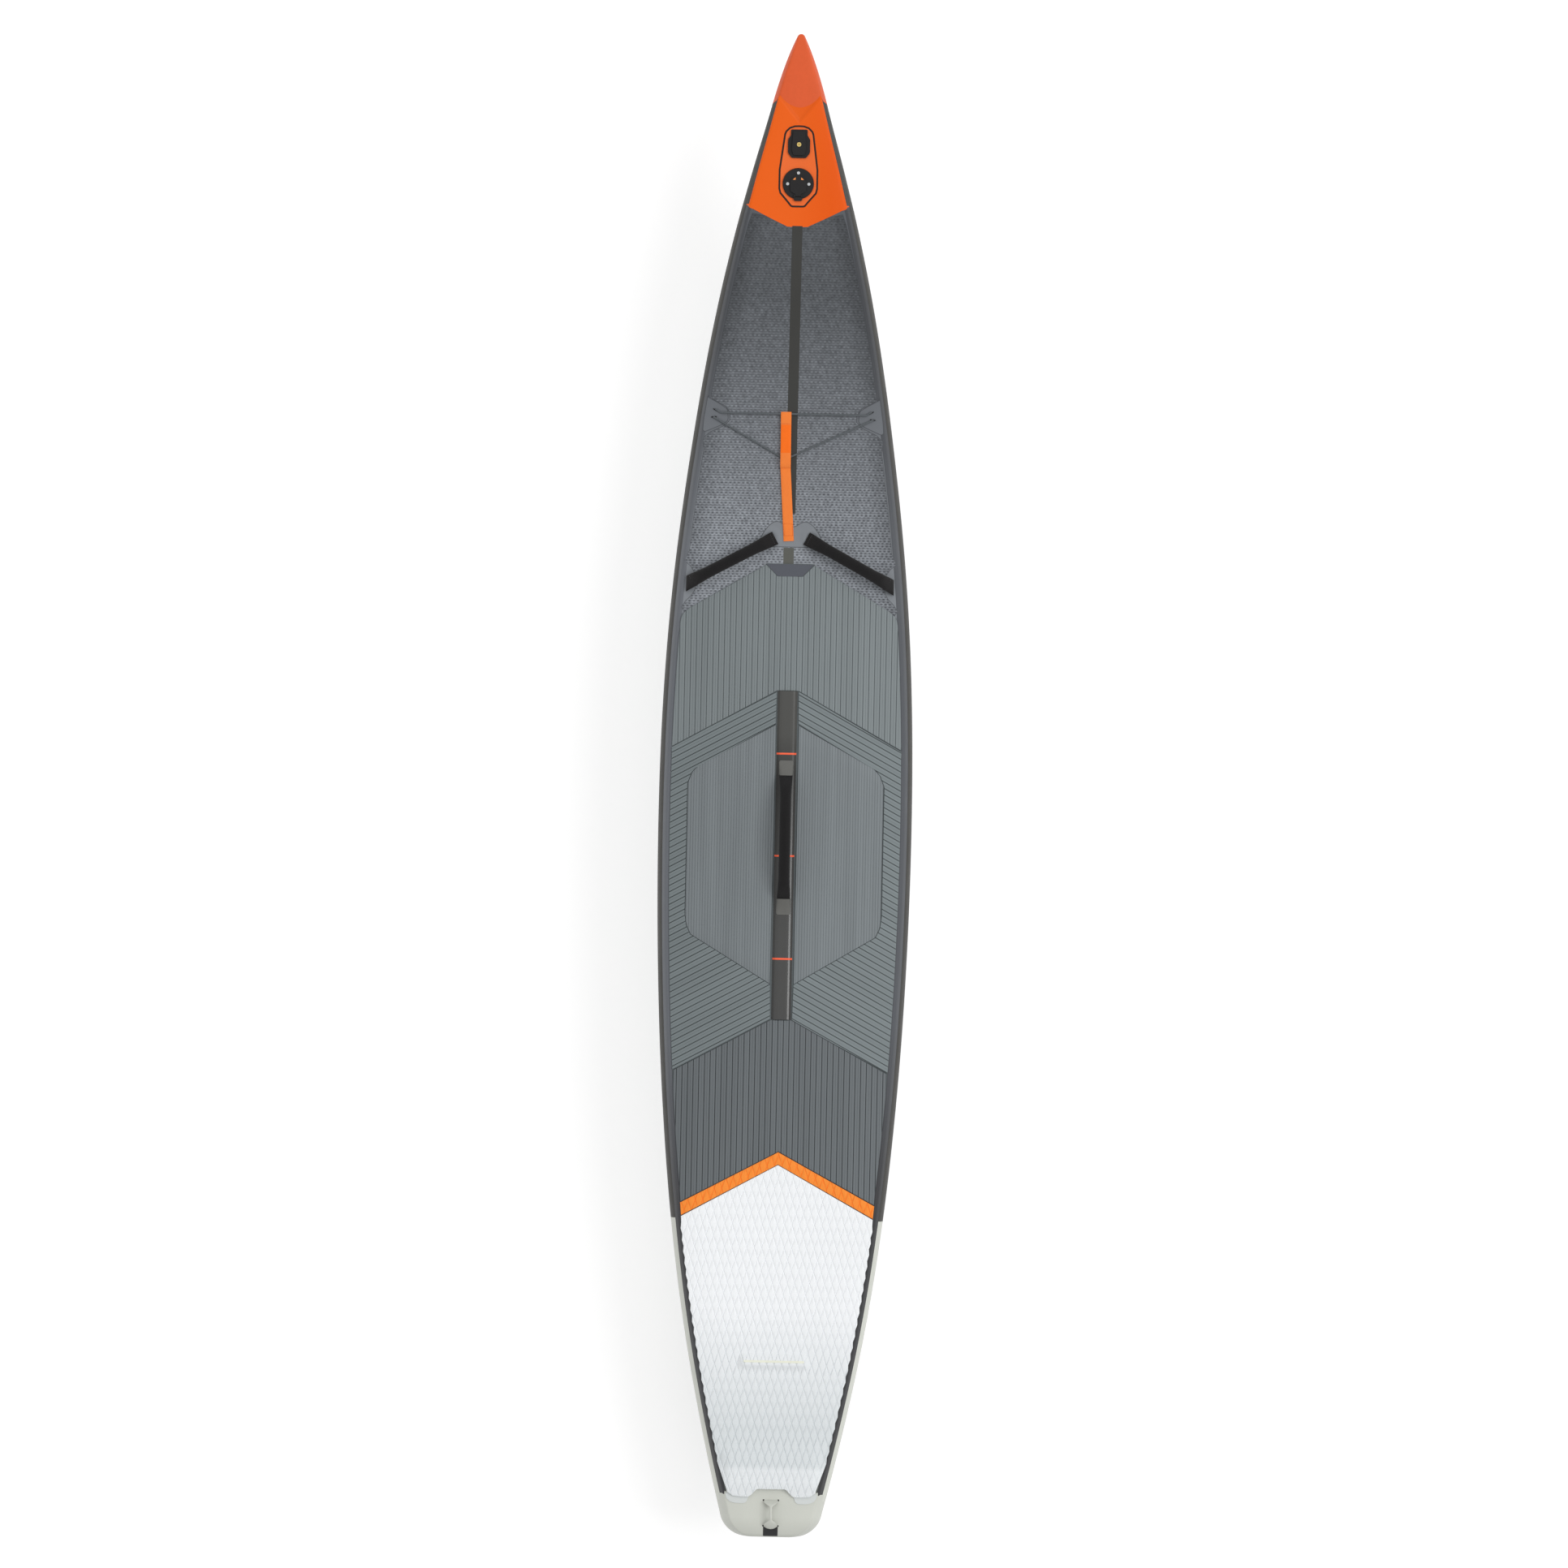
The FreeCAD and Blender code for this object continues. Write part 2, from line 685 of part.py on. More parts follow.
def accessory_panel():
    outline = mirrored([(1673, 0), (1670, 30, 14), (1648, 38, 30), (1540, 50, 40), (1505, 50, 14),
                        (1466, 20, 4), (1466, 0)])
    return prism(outline, PANEL_TOP + 0.1, PANEL_TOP + 1.6).cut(valve_hole())


def accessory_mount():
    """Moulded base with a raised block that holds the threaded insert."""
    plate = prism(mirrored([(1662, 21, 3), (1648, 21, 2), (1636, 28, 8), (1603, 28, 8), (1590, 18, 6)]),
                  FITTING_BASE, FITTING_BASE + 4)
    block = prism(mirrored([(1658, 15, 3), (1612, 18, 4), (1597, 14, 6)]),
                  FITTING_BASE + 3, FITTING_BASE + 10)
    return plate.fuse(block).removeSplitter().cut(cylinder(5.6, FITTING_BASE + 1, ABOVE, MOUNT_X))


def accessory_insert():
    top = FITTING_BASE + 10.3
    body = cylinder(5.5, FITTING_BASE + 1.1, top, MOUNT_X)
    return body.cut(cylinder(2.5, top - 8, top + 1, MOUNT_X))


SCREW_CIRCLE = 27.0
SCREW_PLACES = [(VALVE_X + SCREW_CIRCLE * math.cos(math.radians(a)), SCREW_CIRCLE * math.sin(math.radians(a)))
                for a in (0.0, 92.0, 268.0)]
HINGE_X = VALVE_X - 31.0
HINGE_Z = FITTING_BASE + 7.6


def hinge_pin(radius, length):
    return Part.makeCylinder(radius, length, Vector(HINGE_X, -length / 2, HINGE_Z), Vector(0, 1, 0))


def valve_flange():
    """Screwed-down ring with a tongue aft whose two lugs hold the lid's hinge."""
    disc = cylinder(FLANGE_RADIUS, FITTING_BASE, FITTING_BASE + 5, VALVE_X)
    rim = [edge for edge in disc.Edges if edge.BoundBox.ZMin > FITTING_BASE + 4.9]
    disc = disc.makeChamfer(1.5, rim[:1])
    tongue = prism(mirrored([(VALVE_X - 30, 11), (VALVE_X - 44, 11, 5)]), FITTING_BASE, FITTING_BASE + 6)
    disc = disc.fuse(tongue)
    for y in (-11, 8):
        disc = disc.fuse(box(HINGE_X - 3.5, HINGE_X + 3.5, y, y + 3, FITTING_BASE + 3, FITTING_BASE + 10))
    disc = disc.cut(box(HINGE_X - 3.2, HINGE_X + 4, -8, 8, FITTING_BASE + 5, FITTING_BASE + 7))
    disc = disc.cut(hinge_pin(1.6, 26))
    disc = disc.cut(valve_hole())
    for x, y in SCREW_PLACES:
        disc = disc.cut(cylinder(2.1, 0, ABOVE, x, y))
        disc = disc.cut(cylinder(4.0, FITTING_BASE + 2.9, ABOVE, x, y))
    return disc


def valve_screws():
    screws = []
    for x, y in SCREW_PLACES:
        head = cylinder(3.8, FITTING_BASE + 3.0, FITTING_BASE + 5.3, x, y)
        shank = cylinder(2.0, PANEL_TOP + 1.75, FITTING_BASE + 3.1, x, y)
        slot = box(x - 3, x + 3, y - 0.4, y + 0.4, FITTING_BASE + 4.3, FITTING_BASE + 6)
        screws.append(head.fuse(shank).cut(slot))
    return Part.makeCompound(screws)


SEAT_Z = FITTING_BASE - 30.0
BRIDGE_Z = FITTING_BASE - 20.0
BUTTON_TOP = FITTING_BASE - 1.0
VALVE_STROKE = 6.0


def valve_body():
    """Tube through the deck face with a bridge that guides the stem and a seat for the seal."""
    tube = ring(19.9, 16.5, SEAT_Z, FITTING_BASE + 4.8, VALVE_X)
    seat = ring(17.0, 12.0, SEAT_Z, SEAT_Z + 3, VALVE_X)
    bridge = box(VALVE_X - 17, VALVE_X + 17, -3, 3, BRIDGE_Z - 3, BRIDGE_Z)
    boss = cylinder(6, BRIDGE_Z - 3, BRIDGE_Z, VALVE_X)
    return tube.fuse(seat).fuse(bridge).fuse(boss).cut(cylinder(3.1, 0, ABOVE, VALVE_X))


def valve_nut():
    top = NOSE_DECK - SKIN - 0.1
    return ring(34, 20.1, top - 6, top, VALVE_X)


def valve_stem():
    """Push button, rod and the foot that carries the seal."""
    button = cylinder(8, BUTTON_TOP - 3, BUTTON_TOP, VALVE_X)
    rod = cylinder(3, SEAT_Z - 5, BUTTON_TOP - 2, VALVE_X)
    foot = cylinder(5, SEAT_Z - 6, SEAT_Z - 3.2, VALVE_X)
    slot = box(VALVE_X - 6, VALVE_X + 6, -0.8, 0.8, BUTTON_TOP - 1.2, BUTTON_TOP + 1)
    return button.fuse(rod).fuse(foot).cut(slot)


def valve_seal():
    return ring(14.5, 3.05, SEAT_Z - 3.1, SEAT_Z - 0.1, VALVE_X)


def valve_spring():
    pitch = 2.6
    low = BRIDGE_Z + 0.7
    high = BUTTON_TOP - 3.7
    helix = Part.makeHelix(pitch, high - low, 5.0)
    profile = Part.Wire(Part.makeCircle(0.6, Vector(5.0, 0, 0), Vector(0, 1, 0)))
    coil = Part.Wire(helix).makePipeShell([profile], True, True)
    coil.translate(Vector(VALVE_X, 0, low))
    return coil


LID_LOW = FITTING_BASE + 5.9
LID_TOP = FITTING_BASE + 9.2


def valve_cap():
    """Flip lid whose tail runs aft to a hinge knuckle."""
    lid = cylinder(LID_RADIUS, LID_LOW, LID_TOP, VALVE_X)
    tail = prism(mirrored([(VALVE_X, LID_RADIUS), (1506, 20, 6), (1500, 11, 3), (1499, 7.5), (HINGE_X, 7.5)]),
                 LID_LOW, LID_TOP)
    knuckle = Part.makeCylinder(2.4, 15, Vector(HINGE_X, -7.5, HINGE_Z), Vector(0, 1, 0))
    return lid.fuse(tail).fuse(knuckle).fuse(hinge_pin(1.55, 21)).removeSplitter()


def cap_gasket():
    return ring(19.6, 17.0, FITTING_BASE + 4.85, LID_LOW - 0.05, VALVE_X)


# ---------------------------------------------------------------- fin

BOX_TOP = -TAPE
BOX_LOW = BOX_TOP - BOX_DEPTH
TAB_LONG = 160.0
PIN_X = -TAB_LONG / 2 + 8
PIN_Z = BOX_LOW + 10.5
CLAMP_X = TAB_LONG / 2 - 12


def fin_box():
    """Long slotted box on a glued foot under the tail."""
    foot = prism([(-BOX_LENGTH / 2 - 30, -45, 20), (BOX_LENGTH / 2 + 30, -45, 20),
                  (BOX_LENGTH / 2 + 30, 45, 20), (-BOX_LENGTH / 2 - 30, 45, 20)], BOX_TOP - 1.5, -0.1)
    half = BOX_WIDTH / 2
    body = prism([(-BOX_LENGTH / 2, -half, 10), (BOX_LENGTH / 2, -half, 10), (BOX_LENGTH / 2, half, 10),
                  (-BOX_LENGTH / 2, half, 10)], BOX_LOW, BOX_TOP - 1)
    slot = box(-SLOT_LENGTH / 2, SLOT_LENGTH / 2, -SLOT_WIDTH / 2, SLOT_WIDTH / 2, BOX_LOW - 1, BOX_TOP - 3)
    groove = box(-SLOT_LENGTH / 2, SLOT_LENGTH / 2, -GROOVE_WIDTH / 2, GROOVE_WIDTH / 2,
                 BOX_LOW + 8, BOX_LOW + 13)
    return placed(foot.fuse(body).cut(slot).cut(groove), FIN_BOX_X, 0, 0)


def foil(x_lead, x_trail, thick, z):
    """Fin section: a round-nosed lens drawn with two arcs."""
    lead = Vector(x_lead, 0, z)
    trail = Vector(x_trail, 0, z)
    middle = x_lead + (x_trail - x_lead) * 0.45
    left = Part.Arc(lead, Vector(middle, thick / 2, z), trail).toShape()
    right = Part.Arc(trail, Vector(middle, -thick / 2, z), lead).toShape()
    return Part.Wire([left, right])


def fin():
    """Swept racing fin with a root tab that fills the slot of the box."""
    low = BOX_LOW - 1.5
    shape = [(0.0, 78, -92, 9.0), (0.25, 52, -88, 8.0), (0.5, 16, -94, 6.8), (0.75, -30, -112, 5.0),
             (0.93, -82, -134, 3.0), (1.0, -122, -142, 1.4)]
    blade = Part.makeLoft([foil(lead, trail, thick, low - FIN_DEPTH * share)
                           for share, lead, trail, thick in shape], True, False)
    root = box(-TAB_LONG / 2 - 8, TAB_LONG / 2 - 24, -4.4, 4.4, low - 1.0, BOX_TOP - 4.5)
    ear = box(TAB_LONG / 2 - 30, TAB_LONG / 2, -4.4, 4.4, BOX_LOW + 1, BOX_LOW + 4)
    solid = blade.fuse(root).fuse(ear)
    solid = solid.cut(cylinder(2.3, BOX_LOW - 10, BOX_LOW + 10, CLAMP_X))
    pin_hole = Part.makeCylinder(2.0, 40, Vector(PIN_X, -20, PIN_Z), Vector(0, 1, 0))
    return placed(solid.cut(pin_hole), FIN_BOX_X, 0, 0)


def fin_pin():
    pin = Part.makeCylinder(1.99, GROOVE_WIDTH - 0.6, Vector(PIN_X, -GROOVE_WIDTH / 2 + 0.3, PIN_Z),
                            Vector(0, 1, 0))
    return placed(pin, FIN_BOX_X, 0, 0)


def fin_plate():
    plate = box(CLAMP_X - 7, CLAMP_X + 7, -GROOVE_WIDTH / 2 + 0.4, GROOVE_WIDTH / 2 - 0.4,
                BOX_LOW + 8.3, BOX_LOW + 11.5)
    return placed(plate.cut(cylinder(2.1, BOX_LOW, BOX_LOW + 20, CLAMP_X)), FIN_BOX_X, 0, 0)


def fin_screw():
    head = cylinder(4.0, BOX_LOW - 1.4, BOX_LOW + 0.9, CLAMP_X)
    shank = cylinder(2.0, BOX_LOW + 0.5, BOX_LOW + 12, CLAMP_X)
    slot = box(CLAMP_X - 3, CLAMP_X + 3, -0.5, 0.5, BOX_LOW - 2, BOX_LOW - 0.5)
    return placed(head.fuse(shank).cut(slot), FIN_BOX_X, 0, 0)


# ---------------------------------------------------------------- write the pieces

def build():
    rails = rail_band()
    edge = edge_cover()
    wall = side_wall()
    tape = rail_tape(rails)
    tail = tail_rail(rails)
    deck_band = deck_edge_band(edge)
    bottom_band = bottom_edge_band()
    anchor = bungee_anchor()
    sleeve = side_sleeve()
    webbing = side_webbing()
    tabs = side_tabs()
    return {
        "deck_skin": deck_skin(), "bottom_skin": bottom_skin(),
        "side_wall_left": wall, "side_wall_right": flip(wall),
        "drop_stitch_threads": drop_stitch_threads(),
        "rail_tape_left": tape, "rail_tape_right": flip(tape),
        "tail_rail_left": tail, "tail_rail_right": flip(tail),
        "deck_edge_tape_left": deck_band, "deck_edge_tape_right": flip(deck_band),
        "bottom_edge_tape_left": bottom_band, "bottom_edge_tape_right": flip(bottom_band),
        "nose_cap": nose_cap(), "nose_panel": nose_panel(edge), "tail_piece": tail_piece(),
        "stringer_strip": stringer_strip(), "cargo_patch": cargo_patch(), "badge": badge(),
        "deck_pad": deck_pad(), "carbon_strip": carbon_strip(), "strip_marks": strip_marks(),
        "pad_chevron": pad_chevron(), "tail_pad": tail_pad(), "kick_ridge": kick_ridge(),
        "kick_ridge_strip": kick_ridge_strip(), "tail_kick": tail_kick(),
        "leash_patch": leash_patch(), "leash_loop_tabs": leash_loop_tabs(), "leash_loop": leash_loop(),
        "centre_handle_sleeve": centre_sleeve(), "centre_handle_webbing": centre_webbing(),
        "centre_handle_tabs": centre_tabs(),
        "left_handle_sleeve": sleeve, "left_handle_webbing": webbing, "left_handle_tabs": tabs,
        "right_handle_sleeve": flip(sleeve), "right_handle_webbing": flip(webbing),
        "right_handle_tabs": flip(tabs),
        "cargo_bungee": cargo_bungee(), "cargo_strap": cargo_strap(),
        "bungee_anchor_left": anchor, "bungee_anchor_right": flip(anchor),
        "accessory_panel": accessory_panel(), "accessory_mount": accessory_mount(),
        "accessory_insert": accessory_insert(), "valve_flange": valve_flange(),
        "valve_screws": valve_screws(), "valve_body": valve_body(), "valve_nut": valve_nut(),
        "valve_stem": valve_stem(), "valve_seal": valve_seal(), "valve_spring": valve_spring(),
        "valve_cap": valve_cap(), "cap_gasket": cap_gasket(),
        "fin_box": fin_box(), "fin": fin(), "fin_pin": fin_pin(), "fin_plate": fin_plate(),
        "fin_screw": fin_screw(),
    }


os.makedirs("parts", exist_ok=True)
for name, shape in build().items():
    if not shape.isValid():
        print("not valid:", name)
    shape.exportStep("parts/" + name + ".step")
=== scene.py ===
"""Looks of an inflatable racing paddleboard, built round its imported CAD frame.

Modelling lengths are millimetres in the board's frame: +X to the nose, +Y to port, +Z up.
"""
from dataclasses import dataclass
from functools import lru_cache
import math

import bmesh
import bpy
import numpy as np
from mathutils import Matrix, Vector
from mathutils.bvhtree import BVHTree


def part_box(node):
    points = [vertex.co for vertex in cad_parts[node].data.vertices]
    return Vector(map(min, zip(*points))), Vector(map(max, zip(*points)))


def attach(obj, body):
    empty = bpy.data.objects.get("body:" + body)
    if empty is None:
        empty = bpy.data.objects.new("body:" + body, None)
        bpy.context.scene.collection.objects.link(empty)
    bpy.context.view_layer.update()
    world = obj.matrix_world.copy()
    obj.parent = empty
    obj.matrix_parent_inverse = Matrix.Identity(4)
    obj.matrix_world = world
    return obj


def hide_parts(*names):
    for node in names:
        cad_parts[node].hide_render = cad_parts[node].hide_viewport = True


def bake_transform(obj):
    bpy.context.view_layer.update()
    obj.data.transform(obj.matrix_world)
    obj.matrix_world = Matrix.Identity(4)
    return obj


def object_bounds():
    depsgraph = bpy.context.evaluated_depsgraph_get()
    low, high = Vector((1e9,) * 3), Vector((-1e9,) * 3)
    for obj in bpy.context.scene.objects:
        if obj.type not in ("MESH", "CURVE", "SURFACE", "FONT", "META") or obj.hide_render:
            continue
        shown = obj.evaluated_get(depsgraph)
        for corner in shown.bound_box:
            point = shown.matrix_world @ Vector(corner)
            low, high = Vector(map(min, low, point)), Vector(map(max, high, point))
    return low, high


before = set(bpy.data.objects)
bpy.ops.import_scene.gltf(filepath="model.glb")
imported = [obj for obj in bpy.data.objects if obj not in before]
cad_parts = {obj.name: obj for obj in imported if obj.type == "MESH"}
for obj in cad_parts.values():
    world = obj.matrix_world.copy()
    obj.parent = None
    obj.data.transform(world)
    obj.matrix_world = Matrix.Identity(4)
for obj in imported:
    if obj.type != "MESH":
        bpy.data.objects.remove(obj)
cad_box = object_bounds()

MM = 0.001
TURN = 2 * math.pi
SIDES = (("port", 1), ("starboard", -1))

# Rounding of the hull that the CAD leaves square
EDGE_ROLL = 70.0           # the deck starts to roll off this far inside its edge
EDGE_FALL = 3.5            # and is this much lower at the edge
EDGE_SHARE = 0.083         # share of the height that the rounded deck edge takes
TAIL_CORNER = 50.0
TAIL_ROUND = 9.0
STEM_ROUND = 12.0
TIP_ROUND = 5.0
BULGE_SHARE = 0.16         # side bulge to hull height
BULGE_LIMIT = 0.3          # and at most this share of the half beam
ROLL_LIMIT = 0.45          # the roll-off takes at most this share of the flat deck
EDGE_STRIP = 1 / 160       # share of the half beam between the flat deck and the bulge
CURVE_REACH = 0.38         # handle length of the rounded edges' curves, as a share of the chord
RAIL_TOP = 0.845           # levels of the rail tape's edges, 0 bottom and 1 deck
RAIL_FOOT = 0.155

# Foam pads
PAD_INSET = 28.0
PAD_TOP = 4.9
PAD_GAP = 0.65              # half the seam between two zones
DIAGONAL = math.radians(28.5)
DIAGONAL_PHASE = 4.0
RIB_PITCH = 14.15
FINE_PITCH = 6.85
RIB_END = 1.3               # a rib slopes down over this length at its ends
SHORTEST_RIB = 4.0
DEEPEST_CUT = 3.4
SCALE_PITCH = 18.95
SCALE_ROW = 29.6
SCALE_START = -2000.0       # rows of scales are counted from here
RIDGE_HEIGHT = 9.5
KICK_HEIGHT = 12.0


def node_box(name):
    low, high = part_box(name)
    return low / MM, high / MM


TAIL_X = node_box("tail_piece")[0].x
NOSE_X = node_box("nose_cap")[1].x
LENGTH = NOSE_X - TAIL_X


# ---------- hull form, read from the frame

def tree_of(*names):
    corners = []
    faces = []
    for name in names:
        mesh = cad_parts[name].data
        start = len(corners)
        corners += [vertex.co / MM for vertex in mesh.vertices]
        faces += [[start + i for i in face.vertices] for face in mesh.polygons]
    return BVHTree.FromPolygons(corners, faces)


def spline(xs, ys):
    """Natural cubic spline through the samples."""
    xs = np.array(xs)
    ys = np.array(ys)
    step = np.diff(xs)
    slope = np.diff(ys) / step
    matrix = np.eye(len(xs))
    right = np.zeros(len(xs))
    for i in range(1, len(xs) - 1):
        matrix[i, i - 1:i + 2] = step[i - 1], 2 * (step[i - 1] + step[i]), step[i]
        right[i] = 6 * (slope[i] - slope[i - 1])
    bend = np.linalg.solve(matrix, right)

    def value(x):
        i = int(np.clip(np.searchsorted(xs, x) - 1, 0, len(step) - 1))
        a = xs[i + 1] - x
        b = x - xs[i]
        h = step[i]
        return float((bend[i] * a ** 3 + bend[i + 1] * b ** 3) / (6 * h)
                     + (ys[i] / h - bend[i] * h / 6) * a + (ys[i + 1] / h - bend[i + 1] * h / 6) * b)
    return value


def sampled(tree, xs, origin, direction, axis):
    """Spline of where rays meet a surface; stations where the ray finds a hole are left out."""
    found = []
    for x in xs:
        hit = tree.ray_cast(Vector(origin(x)), Vector(direction))[0]
        if hit:
            found.append((x, hit[axis]))
    return spline(*zip(*found))


STATIONS = [NOSE_X - 3 - (LENGTH - 58) * (k / 40) ** 1.4 for k in range(40, -1, -1)]
deck_level = sampled(tree_of("deck_skin"), STATIONS, lambda x: (x, 1, 900), (0, 0, -1), 2)
keel_level = sampled(tree_of("bottom_skin"), STATIONS, lambda x: (x, 1, -900), (0, 0, 1), 2)
half_beam = sampled(tree_of("rail_tape_left", "tail_rail_left", "nose_cap", "tail_piece"), STATIONS,
                    lambda x: (x, 900, (deck_level(x) + keel_level(x)) / 2), (0, -1, 0), 1)


def corner_loss(run, radius):
    """How far a rounded corner stands in from its square corner, run away from the end."""
    if run >= radius:
        return 0.0
    return radius - math.sqrt(radius * radius - (radius - max(run, 0.0)) ** 2)


@lru_cache(maxsize=None)
def station(x):
    """Half beam, deck level, keel level, side bulge and flat half-width of the deck at x."""
    wide = half_beam(x) - corner_loss(x - TAIL_X, TAIL_CORNER)
    if NOSE_X - x < TIP_ROUND:
        wide *= math.sqrt(max(1 - (1 - (NOSE_X - x) / TIP_ROUND) ** 2, 0.01))
    ends = corner_loss(x - TAIL_X, TAIL_ROUND) + corner_loss(NOSE_X - x, STEM_ROUND)
    top = deck_level(x) - ends
    low = keel_level(x) + ends
    bulge = min(BULGE_SHARE * (top - low), BULGE_LIMIT * wide)
    return wide, top, low, bulge, wide - bulge - wide * EDGE_STRIP


def deck_height(x, y):
    """Height of the deck fabric, which rolls off towards its edge."""
    _, top, _, _, flat = station(round(x, 2))
    zone = min(EDGE_ROLL, ROLL_LIMIT * flat)
    roll = max(0.0, 1 - (flat - abs(y)) / zone)
    return top - EDGE_FALL * zone / EDGE_ROLL * roll * roll


def side_y(x, z):
    wide, top, low, bulge, _ = station(x)
    rise = (top - low) / 2
    radius = (rise * rise + bulge * bulge) / (2 * bulge)
    off = z - (top + low) / 2
    return wide - radius + math.sqrt(max(radius * radius - off * off, 0.0))


def bent(a, b, lean_a, lean_b, share):
    """Point of a smooth curve from a to b, leaving and arriving along the given directions."""
    reach = CURVE_REACH * (b - a).length
    p = a + lean_a.normalized() * reach
    q = b - lean_b.normalized() * reach
    rest = 1 - share
    return a * rest ** 3 + p * (3 * rest * rest * share) + q * (3 * rest * share * share) + b * share ** 3


def port_section(x, s):
    """(y, z) round the port half: s 0 deck centre, 1 to 2 deck edge, 2 to 3 side, 5 bottom centre."""
    _, top, low, bulge, flat = station(x)
    edge = EDGE_SHARE * (top - low)
    high = Vector((side_y(x, top - edge), top - edge))
    slope = (top - low) / 2 - edge
    radius = ((top - low) ** 2 / 4 + bulge * bulge) / (2 * bulge)
    lean = Vector((slope, -math.sqrt(max(radius * radius - slope * slope, 0.0))))
    if s <= 1:
        return Vector((s * flat, deck_height(x, s * flat)))
    if s <= 2:
        start = Vector((flat, deck_height(x, flat)))
        return bent(start, high, Vector((1, -2 * EDGE_FALL / EDGE_ROLL)), lean, s - 1)
    if s <= 3:
        z = top - edge - (s - 2) * (top - low - 2 * edge)
        return Vector((side_y(x, z), z))
    if s <= 4:
        foot = Vector((high.x, low + edge))
        return bent(foot, Vector((flat, low)), Vector((-lean.x, lean.y)), Vector((-1, 0)), s - 3)
    return Vector((flat * (5 - s), low))


def skin_point(x, s, out=0.0):
    """Point of the hull's skin, moved outward by out. Negative s is the starboard side."""
    here = port_section(x, abs(s))
    if out:
        along = port_section(x, min(abs(s) + 0.02, 5)) - port_section(x, max(abs(s) - 0.02, 0))
        here += Vector((-along.y, along.x)).normalized() * out
    return x, math.copysign(here.x, s), here.y


def at_level(level):
    """Section position of a height between the bottom, 0, and the deck, 1."""
    return 2 + (1 - EDGE_SHARE - level) / (1 - 2 * EDGE_SHARE)


def lay(x, y, height):
    return x, y, deck_height(x, y) + height


# ---------- mesh builders

def smooth_step(value, start, end):
    share = min(max((value - start) / (end - start), 0.0), 1.0)
    return share * share * (3 - 2 * share)


def spread(start, end, count):
    return [start + (end - start) * k / (count - 1) for k in range(count)]


def object_from(bm, name, finish, sharp=35):
    bmesh.ops.recalc_face_normals(bm, faces=bm.faces)
    for vertex in bm.verts:
        vertex.co *= MM
    mesh = bpy.data.meshes.new(name)
    bm.to_mesh(mesh)
    bm.free()
    mesh.shade_smooth()
    mesh.set_sharp_from_angle(angle=math.radians(sharp))
    mesh.materials.append(FINISHES[finish])
    obj = bpy.data.objects.new(name, mesh)
    bpy.context.scene.collection.objects.link(obj)
    return obj


def add_rows(bm, rows):
    """Adds a solid through closed rows of points; strips from side to side fill both ends."""
    rings = [[bm.verts.new(point) for point in row] for row in rows]
    count = len(rings[0])
    for one, two in zip(rings, rings[1:]):
        for j in range(count):
            k = (j + 1) % count
            bm.faces.new((one[j], one[k], two[k], two[j]))
    for ring in (rings[0], rings[-1]):
        for j in range((count - 1) // 2):
            near, far = (ring[j], ring[j + 1]), (ring[count - 2 - j], ring[count - 1 - j])
            bm.faces.new(near + far[1:] if near[1] is far[0] else near + far)


def join(name, parts, finish, sharp=35):
    """One object from several solids, each given as a list of rows."""
    bm = bmesh.new()
    for rows in parts:
        add_rows(bm, rows)
    return object_from(bm, name, finish, sharp)


def loft(name, rows, finish, sharp=35):
    return join(name, [rows], finish, sharp)


def bore(obj, x, y, radius):
    """Cuts a round upright hole through a piece that lies on the deck."""
    bm = bmesh.new()
    middle = Matrix.Translation(Vector((x, y, deck_height(x, y))) * MM)
    radius *= MM
    bmesh.ops.create_cone(bm, cap_ends=True, segments=64, radius1=radius, radius2=radius, depth=0.04,
                          matrix=middle)
    mesh = bpy.data.meshes.new("bore")
    bm.to_mesh(mesh)
    bm.free()
    cutter = bpy.data.objects.new("bore", mesh)
    bpy.context.scene.collection.objects.link(cutter)
    cut = obj.modifiers.new("bore", "BOOLEAN")
    cut.operation = "DIFFERENCE"
    cut.solver = "EXACT"
    cut.object = cutter
    graph = bpy.context.evaluated_depsgraph_get()
    obj.data = bpy.data.meshes.new_from_object(obj.evaluated_get(graph))
    obj.modifiers.clear()
    bpy.data.objects.remove(cutter)
    return obj


def wrap(name, finish, places, start, end, out, thick, rows):
    """Layer of the hull's skin over section positions; start and end give its x limits there."""
    edge = len(places) - 1
    rings = []
    for k in range(rows):
        share = k / (rows - 1)
        outer = []
        inner = []
        for i, s in enumerate(places):
            x = round(start(s) + (end(s) - start(s)) * share, 2)
            rim = 0.6 * thick if i in (0, edge) else 0.0
            outer.append(skin_point(x, s, out - rim))
            inner.append(skin_point(x, s, out - thick))
        rings.append(outer + inner[::-1])
    return loft(name, rings, finish)


def settle(obj, slot, *nodes, body="hull"):
    """The piece rides on a body and stands for CAD nodes; slot is not used."""
    if body:
        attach(obj, body)
    if nodes:
        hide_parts(*nodes)


def mirror_outline(points):
    """Closes an outline given on the port side, from the centre line round to the centre line."""
    other = [(x, -y) for x, y in reversed(points) if abs(y) > 0.01]
    return list(points) + other


def on_side(points, sign):
    """The points on the port side for sign 1 and on the starboard side for sign -1."""
    return [(x, sign * y) for x, y in points]


def inset(outline, distance):
    """The outline moved inward, edge by edge."""
    area = sum(a[0] * b[1] - b[0] * a[1] for a, b in zip(outline, outline[1:] + outline[:1]))
    sign = 1 if area > 0 else -1
    moved = []
    for i, point in enumerate(outline):
        here = Vector(point)
        before = (here - Vector(outline[i - 1])).normalized()
        after = (Vector(outline[(i + 1) % len(outline)]) - here).normalized()
        one = Vector((-before.y, before.x)) * sign
        two = Vector((-after.y, after.x)) * sign
        both = (one + two).normalized()
        moved.append(tuple(here + both * (distance / max(both.dot(one), 0.35))))
    return moved


